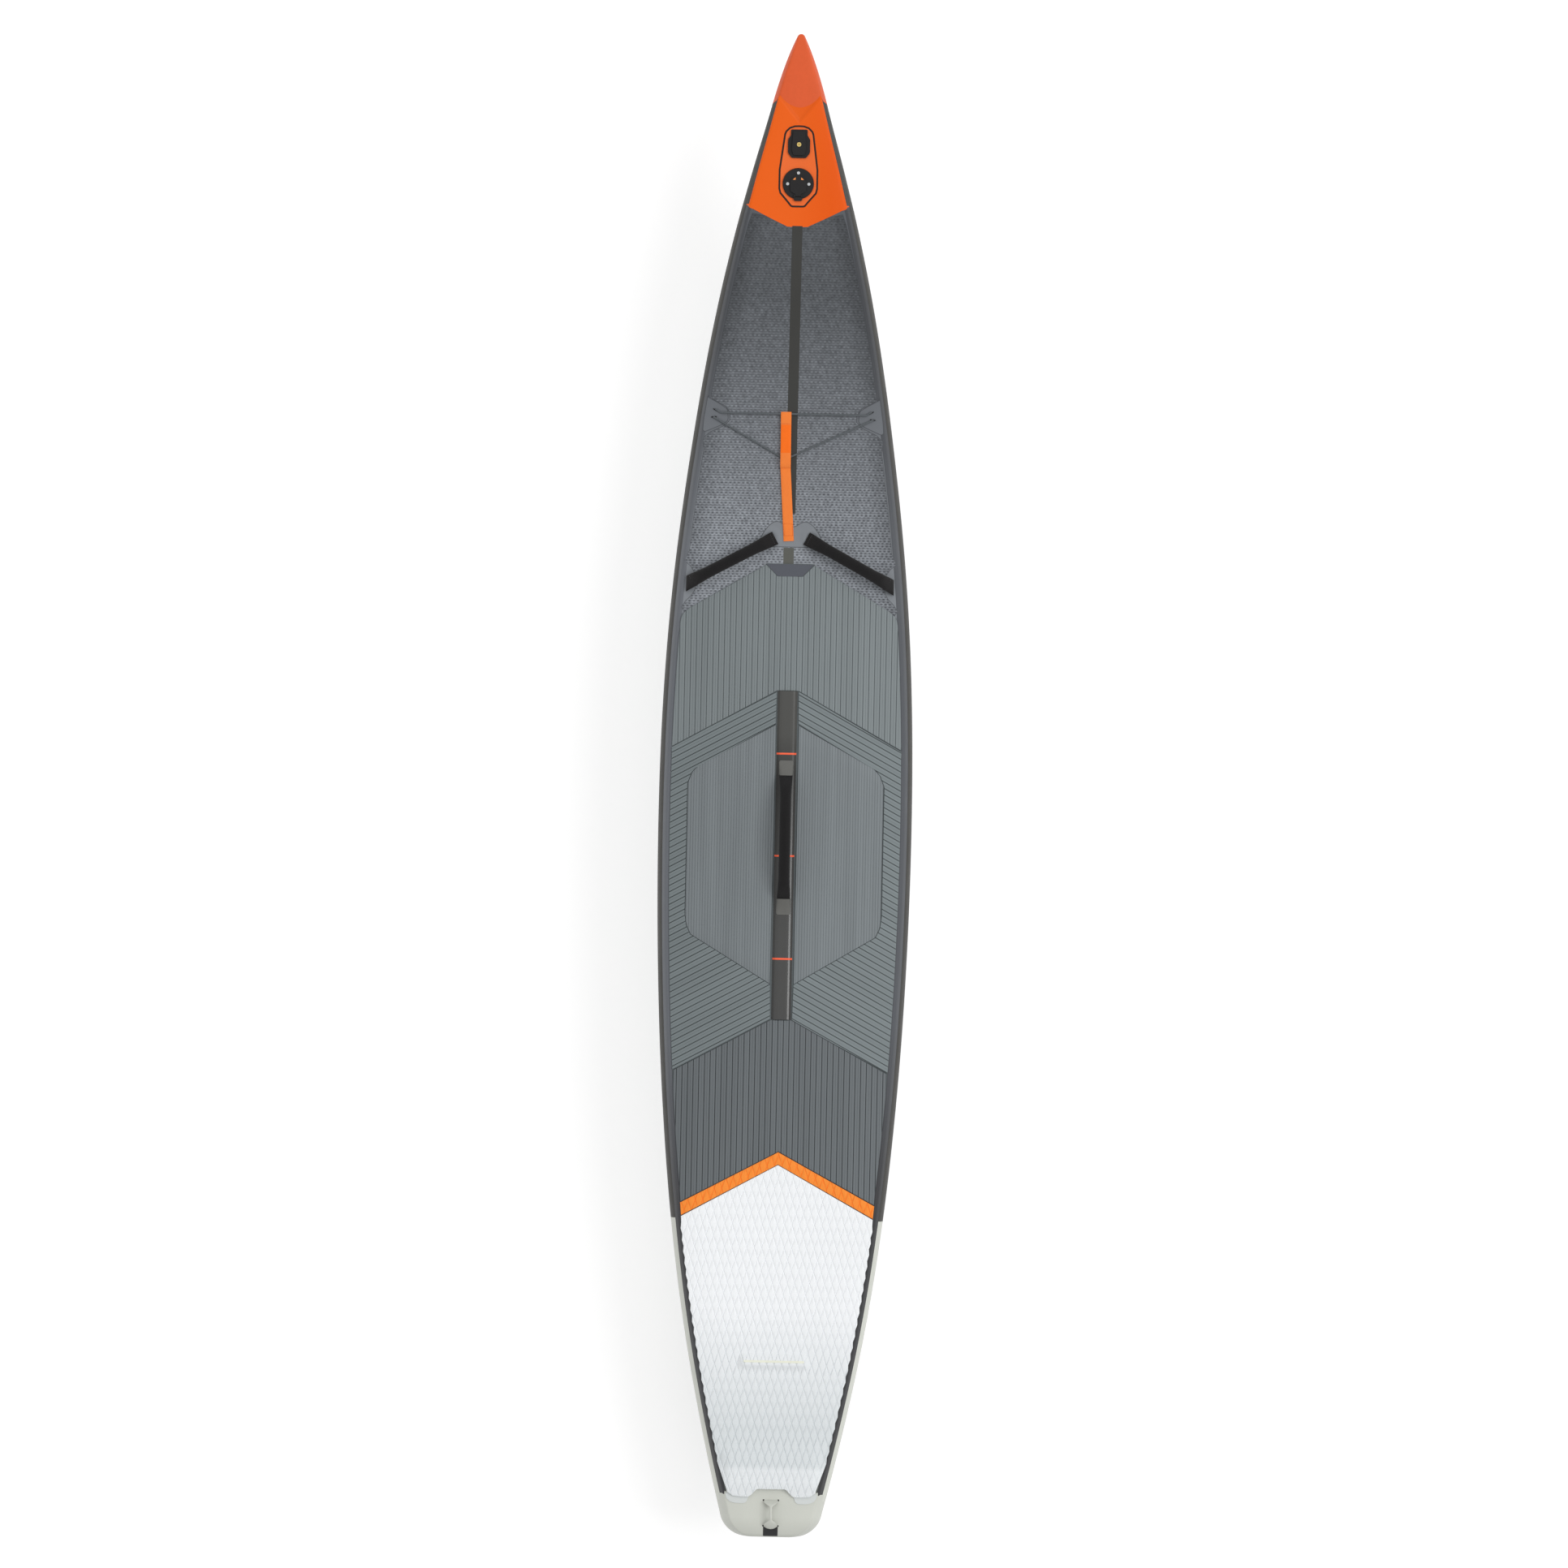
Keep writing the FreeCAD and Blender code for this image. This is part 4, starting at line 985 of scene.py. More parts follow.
CAD_FINISH = {
    "accessory_insert": "brass", "accessory_mount": "moulded_black", "cap_gasket": "seal",
    "drop_stitch_threads": "thread", "fin": "fin_black", "fin_box": "moulded_black", "fin_pin": "brass",
    "fin_plate": "steel", "fin_screw": "steel", "valve_body": "moulded_black", "valve_cap": "moulded_black",
    "valve_flange": "moulded_black", "valve_nut": "moulded_black", "valve_screws": "steel",
    "valve_seal": "seal", "valve_stem": "moulded_black",
}


def finish_cad_nodes():
    for node, finish in CAD_FINISH.items():
        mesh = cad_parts[node].data
        mesh.materials.clear()
        mesh.materials.append(FINISHES[finish])


# ---------- hull skins

LEVEL_TOP = at_level(RAIL_TOP)
LEVEL_FOOT = at_level(RAIL_FOOT)
DECK_PLACES = [0, 0.3, 0.55, 0.7, 0.8, 0.88, 0.94, 1.0, 1.15, 1.3, 1.45, 1.6, 1.75, 1.9, 2.0]
RAIL_REAR = node_box("rail_tape_left")[0].x
PANEL_REAR = node_box("nose_panel")[0].x
RAIL_FRONT = 1746.0
VALVE_X = (node_box("valve_body")[0].x + node_box("valve_body")[1].x) / 2
VALVE_BORE = 20.2
TAIL_SEAM = -1800.0
END_GAP = 0.05              # the mouldings end this far inside the board's length
LIP = 0.5                   # their open ends turn inward over this length


def both_ways(places):
    return [-s for s in reversed(places) if s > 0] + list(places)


def fixed(x):
    return lambda s: x


def level_with(value, places, values):
    """Straight-line value between given places; both sides of the board are alike."""
    return float(np.interp(abs(value), places, values))


def build_deck():
    places = both_ways(DECK_PLACES + [2.08])
    deck = wrap("hull_deck_fabric", "deck_smooth", places, fixed(TAIL_SEAM), fixed(1750.0),
                0.0, 1.2, 150)
    settle(bore(deck, VALVE_X, 0, VALVE_BORE), "deck_fabric", "deck_skin")


def build_bottom():
    places = [5 - s for s in DECK_PLACES[::-1]]
    rows = []
    for x in spread(-1806.0, 1730.0, 130):
        x = round(x, 2)
        outer = [skin_point(x, s, 0.0) for s in places] + [skin_point(x, -s, 0.0) for s in places[::-1][1:]]
        inner = [(px, py, pz + 1.2) for px, py, pz in outer]
        rows.append(outer + inner[::-1])
    bottom = loft("hull_bottom_fabric", rows, "bottom_fabric")
    settle(bottom, "bottom_fabric", "bottom_skin")


def build_side(side, sign, node):
    """Wall, rail tapes and seam tapes of one side."""
    tape_span = (LEVEL_TOP, LEVEL_FOOT, 14)
    layers = (
        # name, finish, slot, section positions, x limits, outer face, thickness, rows, CAD node
        ("wall", "wall_fabric", "wall_fabric", (1.9, 3.1, 12),
         (-1802.0, 1745.0), -0.6, 1.2, 90, "side_wall_"),
        ("rail", "rail_dark", "rail_dark", tape_span,
         (RAIL_REAR, RAIL_FRONT), 1.0, 1.4, 140, "rail_tape_"),
        ("tail_rail", "rail_light", "rail_light", tape_span,
         (TAIL_SEAM - 14, RAIL_REAR - 0.6), 1.0, 1.4, 60, "tail_rail_"),
        ("deck_seam", "edge_band", "edge_tape", (0.985, LEVEL_TOP + 0.02, 12),
         (TAIL_SEAM + 2, 1475.0), 0.5, 0.9, 130, "deck_edge_tape_"),
        ("nose_seam", "rail_dark", "rail_dark", (1.68, LEVEL_TOP + 0.02, 8),
         (1472.0, RAIL_FRONT), 1.0, 0.8, 30, None),
        ("bottom_seam", "rail_light", "rail_light", (LEVEL_FOOT - 0.02, 4.05, 12),
         (TAIL_SEAM - 10, 1725.0), 0.7, 1.1, 110, "bottom_edge_tape_"),
    )
    for name, finish, slot, span, (rear, front), out, thick, rows, stands_for in layers:
        places = [sign * s for s in spread(*span)]
        piece = wrap("hull_" + name + "_" + side, finish, places, fixed(rear), fixed(front), out, thick, rows)
        settle(piece, slot, *([stands_for + node] if stands_for else []))


def build_nose():
    def cap_rear(s):
        if abs(s) <= 1:
            return 1718 + 30 * abs(s) ** 1.8
        return level_with(s, (1.0, 1.45, 1.68, 2.5, 3.0, 3.5), (1748, 1746, 1742, 1724, 1720, 1712))

    half = [0, 0.15, 0.3, 0.45, 0.6, 0.75, 0.88, 1.0, 1.15, 1.3, 1.45, 1.56, 1.68, 1.8, 1.92]
    half += spread(2.0, 3.0, 14) + [3.15, 3.3, 3.45, 3.6, 3.8, 4.0, 4.3, 4.6, 5.0]
    ring = half + [-s for s in half[-2:0:-1]]
    rows = [[skin_point(round(cap_rear(s) + LIP, 2), s, -0.9) for s in ring]]
    last = 45
    for k in range(last + 1):
        share = 1 - (1 - k / last) ** 1.7
        row = []
        for s in ring:
            x = round(cap_rear(s) + (NOSE_X - END_GAP - cap_rear(s)) * share, 2)
            out = 0.9 + 0.45 * smooth_step(abs(s), 1.45, 1.68)
            row.append(skin_point(x, s, out if k < last - 1 else 0.3))
        rows.append(row)
    settle(loft("nose_cap_moulding", rows, "nose_cap", sharp=50), "nose_rubber", "nose_cap")

    def panel_rear(s):
        return level_with(s, (0, 0.2, 0.26, 0.9, 0.97, 2.2),
                          (PANEL_REAR, PANEL_REAR + 1, PANEL_REAR + 5, 1457, 1461, 1470))

    places = both_ways([0, 0.1, 0.2, 0.26] + DECK_PLACES[1:] + [LEVEL_TOP + 0.04])
    film_piece = wrap("nose_panel_film", "nose_film", places, panel_rear,
                      lambda s: cap_rear(min(abs(s), 2.0)) + 9, 0.75, 1.0, 46)
    settle(bore(film_piece, VALVE_X, 0, VALVE_BORE), "nose_orange", "nose_panel")


def build_tail():
    def front(s):
        return level_with(s, (0.9, 0.97, 1.0, 1.2, 1.4, 1.8), (-1776, -1792, -1790, -1799, -1798, -1796))

    half = [0, 0.2, 0.4, 0.6, 0.75, 0.85, 0.92, 0.97] + spread(1.0, 2.0, 11) + spread(2.08, 2.92, 12)
    half += spread(3.0, 4.0, 9) + [4.2, 4.6, 5.0]
    ring = half + [-s for s in half[-2:0:-1]]
    rows = []
    for part in spread(0, 1, 40):
        stops = [TAIL_X + END_GAP + (front(s) - TAIL_X) * part ** 1.8 for s in ring]
        rows.append([skin_point(round(x, 2), s, 0.8) for x, s in zip(stops, ring)])
    rows.append([skin_point(round(front(s) - LIP, 2), s, -0.9) for s in ring])
    settle(loft("tail_moulding", rows, "tail_skin", sharp=50), "rail_light", "tail_piece")


# ---------- deck films

def side_edge(start, end, margin, count=16):
    """Points along the port side, a margin inside the outline."""
    return [(x, station(round(x, 2))[0] - margin) for x in spread(start, end, count)]


def build_field():
    """Embossed deck fabric; its outline leaves smooth lobes at the bungee anchors and the handles."""
    port = [(PANEL_REAR - 4, 0), (PANEL_REAR + 20, 60), (1448, station(1448)[0] - 31)]
    port += side_edge(1420, 988, PAD_INSET, 12)
    port += [(977, 206), (959, 172), (943, 160), (923, 160), (908, 176), (891, 212), (875, 228)]
    port += side_edge(850, 590, PAD_INSET + 4, 8)
    port += [(566, 268), (552, 252), (538, 243), (512, 238), (492, 240), (477, 249), (462, 264), (447, 273),
             (430, 262), (430, 240), (520, 70), (520, 0)]
    outline = mirror_outline(port)
    piece = film("deck_embossed_field", outline, 0.5, "deck_embossed", 15.0)
    mark_edge_shade(piece)
    settle(piece, "deck_fabric")
    line = film("deck_field_line", inset(outline, -1.4), 0.3, "edge_line", 24.0)
    settle(line, "deck_fabric")


def build_stringer():
    half = 13.0
    front = [(PANEL_REAR + 3, half), (PANEL_REAR + 3, -half), (690, 3 - half), (690, 3 + half)]
    rear = [(603, 5 + half), (603, 5 - half), (555, 5 - half), (555, 5 + half)]
    main = film("deck_stringer", front, 0.8, "strip_dark", 24.0)
    settle(main, "strip_dark", "stringer_strip")
    settle(film("deck_stringer_rear", rear, 0.8, "strip_green", 24.0), "strip_dark")


def build_cargo_patch():
    """Smooth patch under the strap's foot, with a hump round each handle end."""
    port = [(655, 0), (656, 12), (662, 20), (668, 30), (668, 42), (658, 56), (642, 68), (622, 78), (609, 76),
            (606, 40), (606, 0)]
    outline = rounded(mirror_outline(port), 5.0, 3)

    def hump(x, y):
        from_end = math.hypot(x - 630, abs(y) - 50)
        return 2.4 * math.exp(-((from_end - 17) / 6) ** 2)

    piece = film("deck_centre_patch", outline, 0.95, "deck_smooth", 5.0, relief=hump)
    settle(piece, "patch_grey", "cargo_patch")
    rim = film("deck_centre_patch_edge", inset(outline, -1.8), 0.75, "edge_line", 14.0)
    settle(rim, "patch_grey")


def build_fitting_panel():
    port = [(1673, 0), (1672.4, 12), (1668, 25), (1658, 35), (1650, 38), (1560, 50), (1512, 50), (1500, 47),
            (1478, 28), (1467, 19), (1465, 14), (1465, 0)]
    outline = mirror_outline(port)
    rim = film("fitting_panel_outline", outline, 1.5, "outline_dark", 20.0)
    settle(bore(rim, VALVE_X, 0, VALVE_BORE), "panel_orange")
    inner = film("fitting_panel", inset(outline, 4.6), 2.0, "panel_film", 20.0)
    settle(bore(inner, VALVE_X, 0, VALVE_BORE), "panel_orange", "accessory_panel")


def build_badge():
    port = [(561, 0), (561, 60), (531, 31.5), (530, 0)]
    outline = rounded(mirror_outline(port), 4.0, 4)
    plate = film("badge_plate", outline, 3.2, "badge", 12.0, relief=lambda x, y: 0.5 - abs(y) / 150)
    settle(plate, "badge_slate", "badge")
    rim = film("badge_border", inset(outline, -1.6), 2.6, "foam_base", 14.0)
    settle(rim, "badge_slate")


# ---------- main foam pad

PAD_FRONT = [(531, 0), (531, 32), (560, 61), (500, 163), (446, 254), (430, 272)]
FIRST_SEAM = [(93, 292), (240, 27)]
OCTAGON = [(154, 28), (47, 222), (30, 238), (1, 249), (-328, 249), (-358, 245), (-381, 234), (-504, 29)]
LOWER_SEAM = [(-594, 27), (-727, 273)]
REAR_SEAM = [(-1060, 246), (-928, 0)]


def pad_side(start, end, count=10):
    return side_edge(start, end, PAD_INSET, count)


def build_pad():
    whole = PAD_FRONT + pad_side(410, -1040, 26) + REAR_SEAM
    settle(film("pad_base_sheet", inset(mirror_outline(whole), 0.6), 1.4, "foam_base", 40.0), "eva_grey")
    front = mirror_outline(PAD_FRONT + pad_side(410, 112, 8) + FIRST_SEAM + [(240, 0)])
    rows = ribbed_rows(inset(front, PAD_GAP), 0.0, RIB_PITCH, WIDE_RIB, RIB_PITCH / 2)
    settle(loft("pad_front_ribs", rows, "foam_long"), "eva_grey", "deck_pad")
    rear = mirror_outline([(-594, 0)] + LOWER_SEAM + pad_side(-745, -1042, 8) + REAR_SEAM)
    rows = ribbed_rows(inset(rear, PAD_GAP), 0.0, RIB_PITCH, WIDE_RIB, RIB_PITCH / 2)
    settle(loft("pad_rear_ribs", rows, "foam_rear"), "eva_grey")
    diagonal = FIRST_SEAM[::-1] + pad_side(70, -710, 22) + LOWER_SEAM[::-1] + OCTAGON[::-1]
    for side, sign in SIDES:
        turned = on_side(inset(diagonal, PAD_GAP), sign)
        rows = ribbed_rows(turned, sign * (math.pi / 2 + DIAGONAL), RIB_PITCH, WIDE_RIB, DIAGONAL_PHASE)
        piece = loft("pad_diagonal_ribs_" + side, rows, "foam_" + side)
        settle(piece, "eva_grey")
        turned = on_side(inset(OCTAGON, 0.5), sign)
        rows = ribbed_rows(turned, 0.0, FINE_PITCH, FINE_RIB, 0.0, 16, 0.5)
        settle(loft("pad_fine_ribs_" + side, rows, "foam_fine"), "eva_grey")


# ---------- scaled tail pad

def scale_sheet(outline):
    """Sheet of staggered pointed scales; each groove is deepest at its port end and fades out."""
    xs = [point[0] for point in outline]
    ys = [point[1] for point in outline]
    bm = bmesh.new()
    made = {}

    def corner(x, y, depth):
        key = (round(x, 2), round(y, 2))
        if key not in made:
            made[key] = bm.verts.new((x, y, -depth))
        return made[key]

    low = int((min(xs) - SCALE_START) / SCALE_ROW) - 1
    high = int((max(xs) - SCALE_START) / SCALE_ROW) + 2
    for row in range(low, high):
        x = SCALE_START + row * SCALE_ROW
        lead = SCALE_PITCH / 2 if row % 2 else 0.0
        for k in range(int(min(ys) / SCALE_PITCH) - 2, int(max(ys) / SCALE_PITCH) + 2):
            y = lead + k * SCALE_PITCH
            port, starboard = Vector((x, y + SCALE_PITCH)), Vector((x, y))
            ahead = Vector((x + SCALE_ROW, y + SCALE_PITCH / 2))
            behind = Vector((x - SCALE_ROW, y + SCALE_PITCH / 2))
            loop = [(port, ahead), (ahead, starboard), (starboard, behind), (behind, port)]
            outer = []
            inner = []
            middle = Vector((x, y + SCALE_PITCH / 2))
            for a, b in loop:
                for t in (0.0, 0.2, 0.4, 0.7):
                    here = a + (b - a) * t
                    fade = t if a is port or a is ahead else 1 - t
                    depth = 1.15 * (1 - smooth_step(fade, 0.25, 0.85)) + 0.12
                    outer.append(corner(here.x, here.y, depth))
                    pull = here + (middle - here) * 0.24
                    inner.append(bm.verts.new((pull.x, pull.y, 0.0)))
            centre = bm.verts.new((middle.x, middle.y, 0.2))
            for i in range(len(outer)):
                j = (i + 1) % len(outer)
                bm.faces.new((outer[i], outer[j], inner[j], inner[i]))
                bm.faces.new((inner[i], inner[j], centre))
    trim(bm, outline)
    return bm


def tail_rise(x, y):
    """Height of the soft kick ridge and of the raised kick at the tail."""
    ridge_ends = 1 - smooth_step(abs(y), 74, 92)
    ridge = RIDGE_HEIGHT * smooth_step(x, -1483, -1467) * (1 - smooth_step(x, -1453, -1437)) * ridge_ends
    kick_sides = 1 - smooth_step(abs(y), 104, 140)
    kick = KICK_HEIGHT * (1 - smooth_step(x, -1732, -1640)) * (0.35 + 0.65 * smooth_step(x, -1806, -1770))
    return ridge + kick * kick_sides


def scaled_pad(name, outline, finish, folds):
    bm = scale_sheet(outline)
    for x in folds:
        geometry = list(bm.verts) + list(bm.edges) + list(bm.faces)
        bmesh.ops.bisect_plane(bm, geom=geometry, dist=1e-4, plane_co=(x, 0, 0), plane_no=(1, 0, 0))
    for vertex in bm.verts:
        x, y = vertex.co.x, vertex.co.y
        rim = 1.0 if any(edge.is_boundary for edge in vertex.link_edges) else 0.0
        vertex.co.z += deck_height(x, y) + PAD_TOP + tail_rise(x, y) - rim
    solid_below(bm, -1.6)
    return object_from(bm, name, finish)


def build_tail_pad():
    gap = PAD_GAP
    chevron = mirror_outline([(-928 - 2 * gap, 0), (-1061 - gap, 246), (-1094 + gap, 243), (-961 + gap, 0)])
    settle(scaled_pad("pad_chevron_band", chevron, "foam_orange", ()), "eva_orange", "pad_chevron")
    side = []
    for k, x in enumerate(spread(-1112, -1716, 42)):
        wander = 1.4 if k % 2 else -1.4
        side.append((x, station(round(x, 2))[0] - 23.5 + wander))
    for x, margin in ((-1740, 25), (-1765, 28), (-1780, 30), (-1792, 31)):
        side.append((x, station(round(x, 2))[0] - margin))
    port = [(-962, 0), (-1096, 243)] + side
    port += [(-1801, 98), (-1803, 80), (-1803, 58), (-1799, 51), (-1790, 43), (-1785, 38), (-1783, 33),
             (-1783, 0)]
    folds = [-1486, -1478, -1471, -1466, -1460, -1454, -1448, -1441, -1434, -1655, -1672, -1690, -1708, -1722,
             -1760, -1772, -1790, -1797]
    pad = scaled_pad("tail_pad_scales", mirror_outline(port), "foam_white", folds)
    settle(pad, "eva_white", "tail_pad", "tail_kick", "kick_ridge")
    for side_name, sign in SIDES:
        ledge = [(-1794, 117), (-1808, 114), (-1817, 104), (-1820, 90), (-1820, 68), (-1815, 61), (-1795, 55)]
        outline = rounded(on_side(ledge, sign), 5.0, 4)
        piece = film("tail_pad_ledge_" + side_name, outline, 2.6, "foam_ledge", 8.0,
                     relief=lambda x, y: 0.25 * math.sin(TURN * y / 9.5) * math.cos(TURN * x / 24))
        settle(piece, "eva_white")
    strip = rounded([(-1457, 77), (-1462.5, 77), (-1462.5, -77), (-1457, -77)], 2.4, 4)
    piece = film("kick_ridge_bar", strip, PAD_TOP + 0.5, "cream", 12.0, PAD_TOP - 1, relief=tail_rise)
    settle(piece, "strip_cream", "kick_ridge_strip")


# ---------- carbon strip and its fittings

STRIP_LOW, STRIP_HIGH = node_box("carbon_strip")
STRIP_TOP = STRIP_HIGH.z - deck_height(0, 0)
STRIP_STEPS = (0, 14.5, 16.2, 19.5, 20.1, 22.6, 23.2, 25)


def strip_height(y):
    """Cross-section of the bevelled strip, with two fine steps on each bevel."""
    return STRIP_TOP - level_with(y, STRIP_STEPS, (0, 0.1, 0.6, 1.7, 2.4, 4.0, 4.6, 5.6))


def build_carbon_strip():
    across = both_ways(STRIP_STEPS[:1] + (7,) + STRIP_STEPS[1:])
    rows = []
    for x in spread(STRIP_LOW.x, STRIP_HIGH.x, 34):
        rim = 0.8 if x in (STRIP_LOW.x, STRIP_HIGH.x) else 0.0
        top = [lay(x, y, strip_height(y) - rim) for y in across]
        under = [lay(x, y, 0.0) for y in across]
        rows.append(top + under[::-1])
    strip = loft("carbon_strip_bar", rows, "carbon", sharp=20)
    settle(strip, "carbon", "carbon_strip")
    parts = []
    for centre in (81.0, -178.0, -439.0):
        rows = []
        for x, lift in ((centre - 2.3, 0.0), (centre - 1.9, 0.25), (centre + 1.9, 0.25), (centre + 2.3, 0.0)):
            top = [lay(x, y, strip_height(y) + lift) for y in across]
            under = [lay(x, y, strip_height(y) - 0.5) for y in across]
            rows.append(top + under[::-1])
        parts.append(rows)
    settle(join("carbon_strip_marks", parts, "mark_orange"), "mark_orange", "strip_marks")


ARCH_POWER = 2.6            # higher powers give steeper ends and a flatter top


@dataclass
class Arch:
    """A soft grab handle that stands up in an arch between two flat ends.

    It has a half width and a thickness for its ends and for its middle; taper is the length over which the
    width changes. Skew slants the cut at the aft end and bow rounds it.
    """
    start: tuple
    end: tuple
    base: float
    peak: float
    end_half: float
    end_thick: float
    mid_half: float
    mid_thick: float
    taper: float
    skew: float = 0.0
    bow: float = 0.0

    def __post_init__(self):
        self.start = Vector(self.start)
        self.run = Vector(self.end) - self.start
        self.length = self.run.length
        self.along = self.run.normalized()
        self.across = Vector((-self.along.y, self.along.x))

    def centre_height(self, share):
        side = abs(2 * share - 1)
        return self.base + self.end_thick + (self.peak - self.end_thick) * (1 - side ** ARCH_POWER)

    def row(self, share, sides=28):
        """Closed row at a share of the length: flat at the ends, round in the middle."""
        reach = min(share, 1 - share) * self.length
        soft = smooth_step(reach, 4, self.taper)
        half = self.end_half + (self.mid_half - self.end_half) * soft
        thick = self.end_thick + (self.mid_thick - self.end_thick) * smooth_step(reach, 0, 40)
        power = 0.62 + 0.38 * soft
        points = []
        for k in range(sides):
            angle = TURN * k / sides
            c, s = math.cos(angle), math.sin(angle)
            q = math.copysign(abs(c) ** power, c) * half
            up = math.copysign(abs(s) ** power, s) * thick
            crease = 0.35 * math.sin(TURN * share * 9 + 3 * angle) * (1 - soft) * thick / 5
            pull = (self.skew * q + self.bow * (1 - (q / half) ** 2)) * share ** 7
            flat = self.start + self.along * (share * self.length + pull) + self.across * q
            slope = (self.centre_height(min(share + 0.01, 1)) - self.centre_height(max(share - 0.01, 0)))
            lean = up * slope / (0.02 * self.length)
            flat -= self.along * lean * soft
            points.append((flat.x, flat.y, self.centre_height(share) + up + crease))
        return points

    def place(self, share):
        flat = self.start + self.run * share
        return Vector((flat.x, flat.y, self.centre_height(share))) * MM


def build_handle(label, arch, body, finish, slot, *nodes, still=0.06, free=0.30):
    """The handle as two halves, fore and aft; neither half is made to swing, and the places found at still
    and free are not used.
    """
    for name, fore in (("fore", True), ("aft", False)):
        def from_end(share):
            return share if fore else 1 - share

        rows = [arch.row(from_end(share)) for share in spread(0.0, 0.5, 26)]
        piece = loft(label + "_" + name, rows, finish, sharp=50)
        arch.place(from_end(still))
        arch.place(from_end(free))
        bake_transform(piece)
        settle(piece, slot, *nodes, body=None)


def build_side_handles():
    for side, sign in SIDES:
        node = "left" if sign > 0 else "right"
        low, high = node_box(node + "_handle_tabs")
        middle = Vector(((low.x + high.x) / 2, (low.y + high.y) / 2))
        along = Vector((-110.0, 204.0 * sign)).normalized()
        inner = middle - along * 123
        outer = middle + along * 131
        arch = Arch(inner, outer, base=deck_height(inner.x, inner.y) + 0.8, peak=41.0, end_half=17.5,
                    end_thick=2.6, mid_half=14.6, mid_thick=11.0, taper=74.0, skew=0.54 * sign)
        stands_for = [node + part for part in ("_handle_sleeve", "_handle_tabs", "_handle_webbing")]
        build_handle("handle_" + side, arch, node + "_handle", "neoprene", "neoprene", *stands_for)
        rows = []
        for place in (0.03, 0.065, 0.935):
            centre = arch.start + arch.run * place
            reach = arch.across * 14
            rows += stitch_line(centre - reach, centre + reach,
                                lambda x, y, p=place: arch.centre_height(p) + 3.2, 3.2, 1.2, 0.5)
        settle(join("handle_stitches_" + side, rows, "stitch_grey"), "neoprene")


def build_centre_handle():
    low, high = node_box("centre_handle_sleeve")
    base = STRIP_HIGH.z
    arch = Arch((high.x + 14, 0), (low.x - 14, 0), base=base + 0.6, peak=50.0, end_half=16.8,
                end_thick=3.4, mid_half=14.2, mid_thick=11.5, taper=64.0)
    build_handle("handle_centre", arch, "centre_handle", "neoprene", "neoprene", "centre_handle_sleeve",
                 "centre_handle_webbing")
    for name, mouth, back in (("fore", 26.0, 64.0), ("aft", -287.0, -327.0)):
        rows = []
        for share in (0.0, 0.06, 0.15, 0.3, 0.5, 0.7, 0.9, 1.0):
            x = back + (mouth - back) * share
            lift = 0.8 + 12.0 * share ** 1.7
            half = 18.5 - 3.5 * (1 - min(share / 0.12, 1.0)) ** 2
            top = []
            for q in (-1, -0.94, -0.8, -0.5, 0, 0.5, 0.8, 0.94, 1):
                drop = (1 - abs(q) ** 5) ** 0.5
                top.append((x, q * half, base + 0.3 + lift * drop))
            under = [(x, q * half, base - 0.8) for q in (1, 0.5, 0, -0.5, -1)]
            rows.append(top + under)
        patch = loft("handle_patch_" + name, rows, "carbon_patch", sharp=60)
        settle(patch, "carbon", *(("centre_handle_tabs",) if name == "fore" else ()))


def build_leash_loop():
    low, high = node_box("leash_loop_tabs")
    arch = Arch((high.x + 0.5, 0), (low.x - 6, 0), base=deck_height(low.x, 0) + 0.9, peak=24.0,
                end_half=17.4, end_thick=1.5, mid_half=3.3, mid_thick=3.6, taper=19.0, bow=7.0)
    build_handle("leash_loop_web", arch, "leash_loop", "tail_skin", "rail_light", "leash_loop",
                 "leash_loop_tabs", still=0.10, free=0.40)
    patch = rounded([(-1875, 18.5), (-1902.5, 18.5), (-1902.5, -18.5), (-1875, -18.5)], 1.5, 3)
    piece = film("leash_patch_plate", patch, 1.5, "webbing_black", 3.0)
    settle(piece, "webbing_black", "leash_patch")
    slots = []
    for x in (-1811.5, -1876.5):
        for y in (-18.6, 18.6):
            slots.append([[(x + a, y + b, deck_height(x, y) + z) for a, b in
                           ((-2, -2), (2, -2), (2, 2), (-2, 2))] for z in (0.2, 1.3)])
    settle(join("leash_anchor_slots", slots, "seal"), "webbing_black")


# ---------- cargo net

CARGO_X = 942.0
ANCHORS = ((948.0, 197.0), (931.0, 201.0))
ANCHOR_TAB = ((983, 226), (965, 190), (951, 168), (923, 166), (911, 184), (893, 226), (928, 240))
V_POINT = (827.0, 19.0)


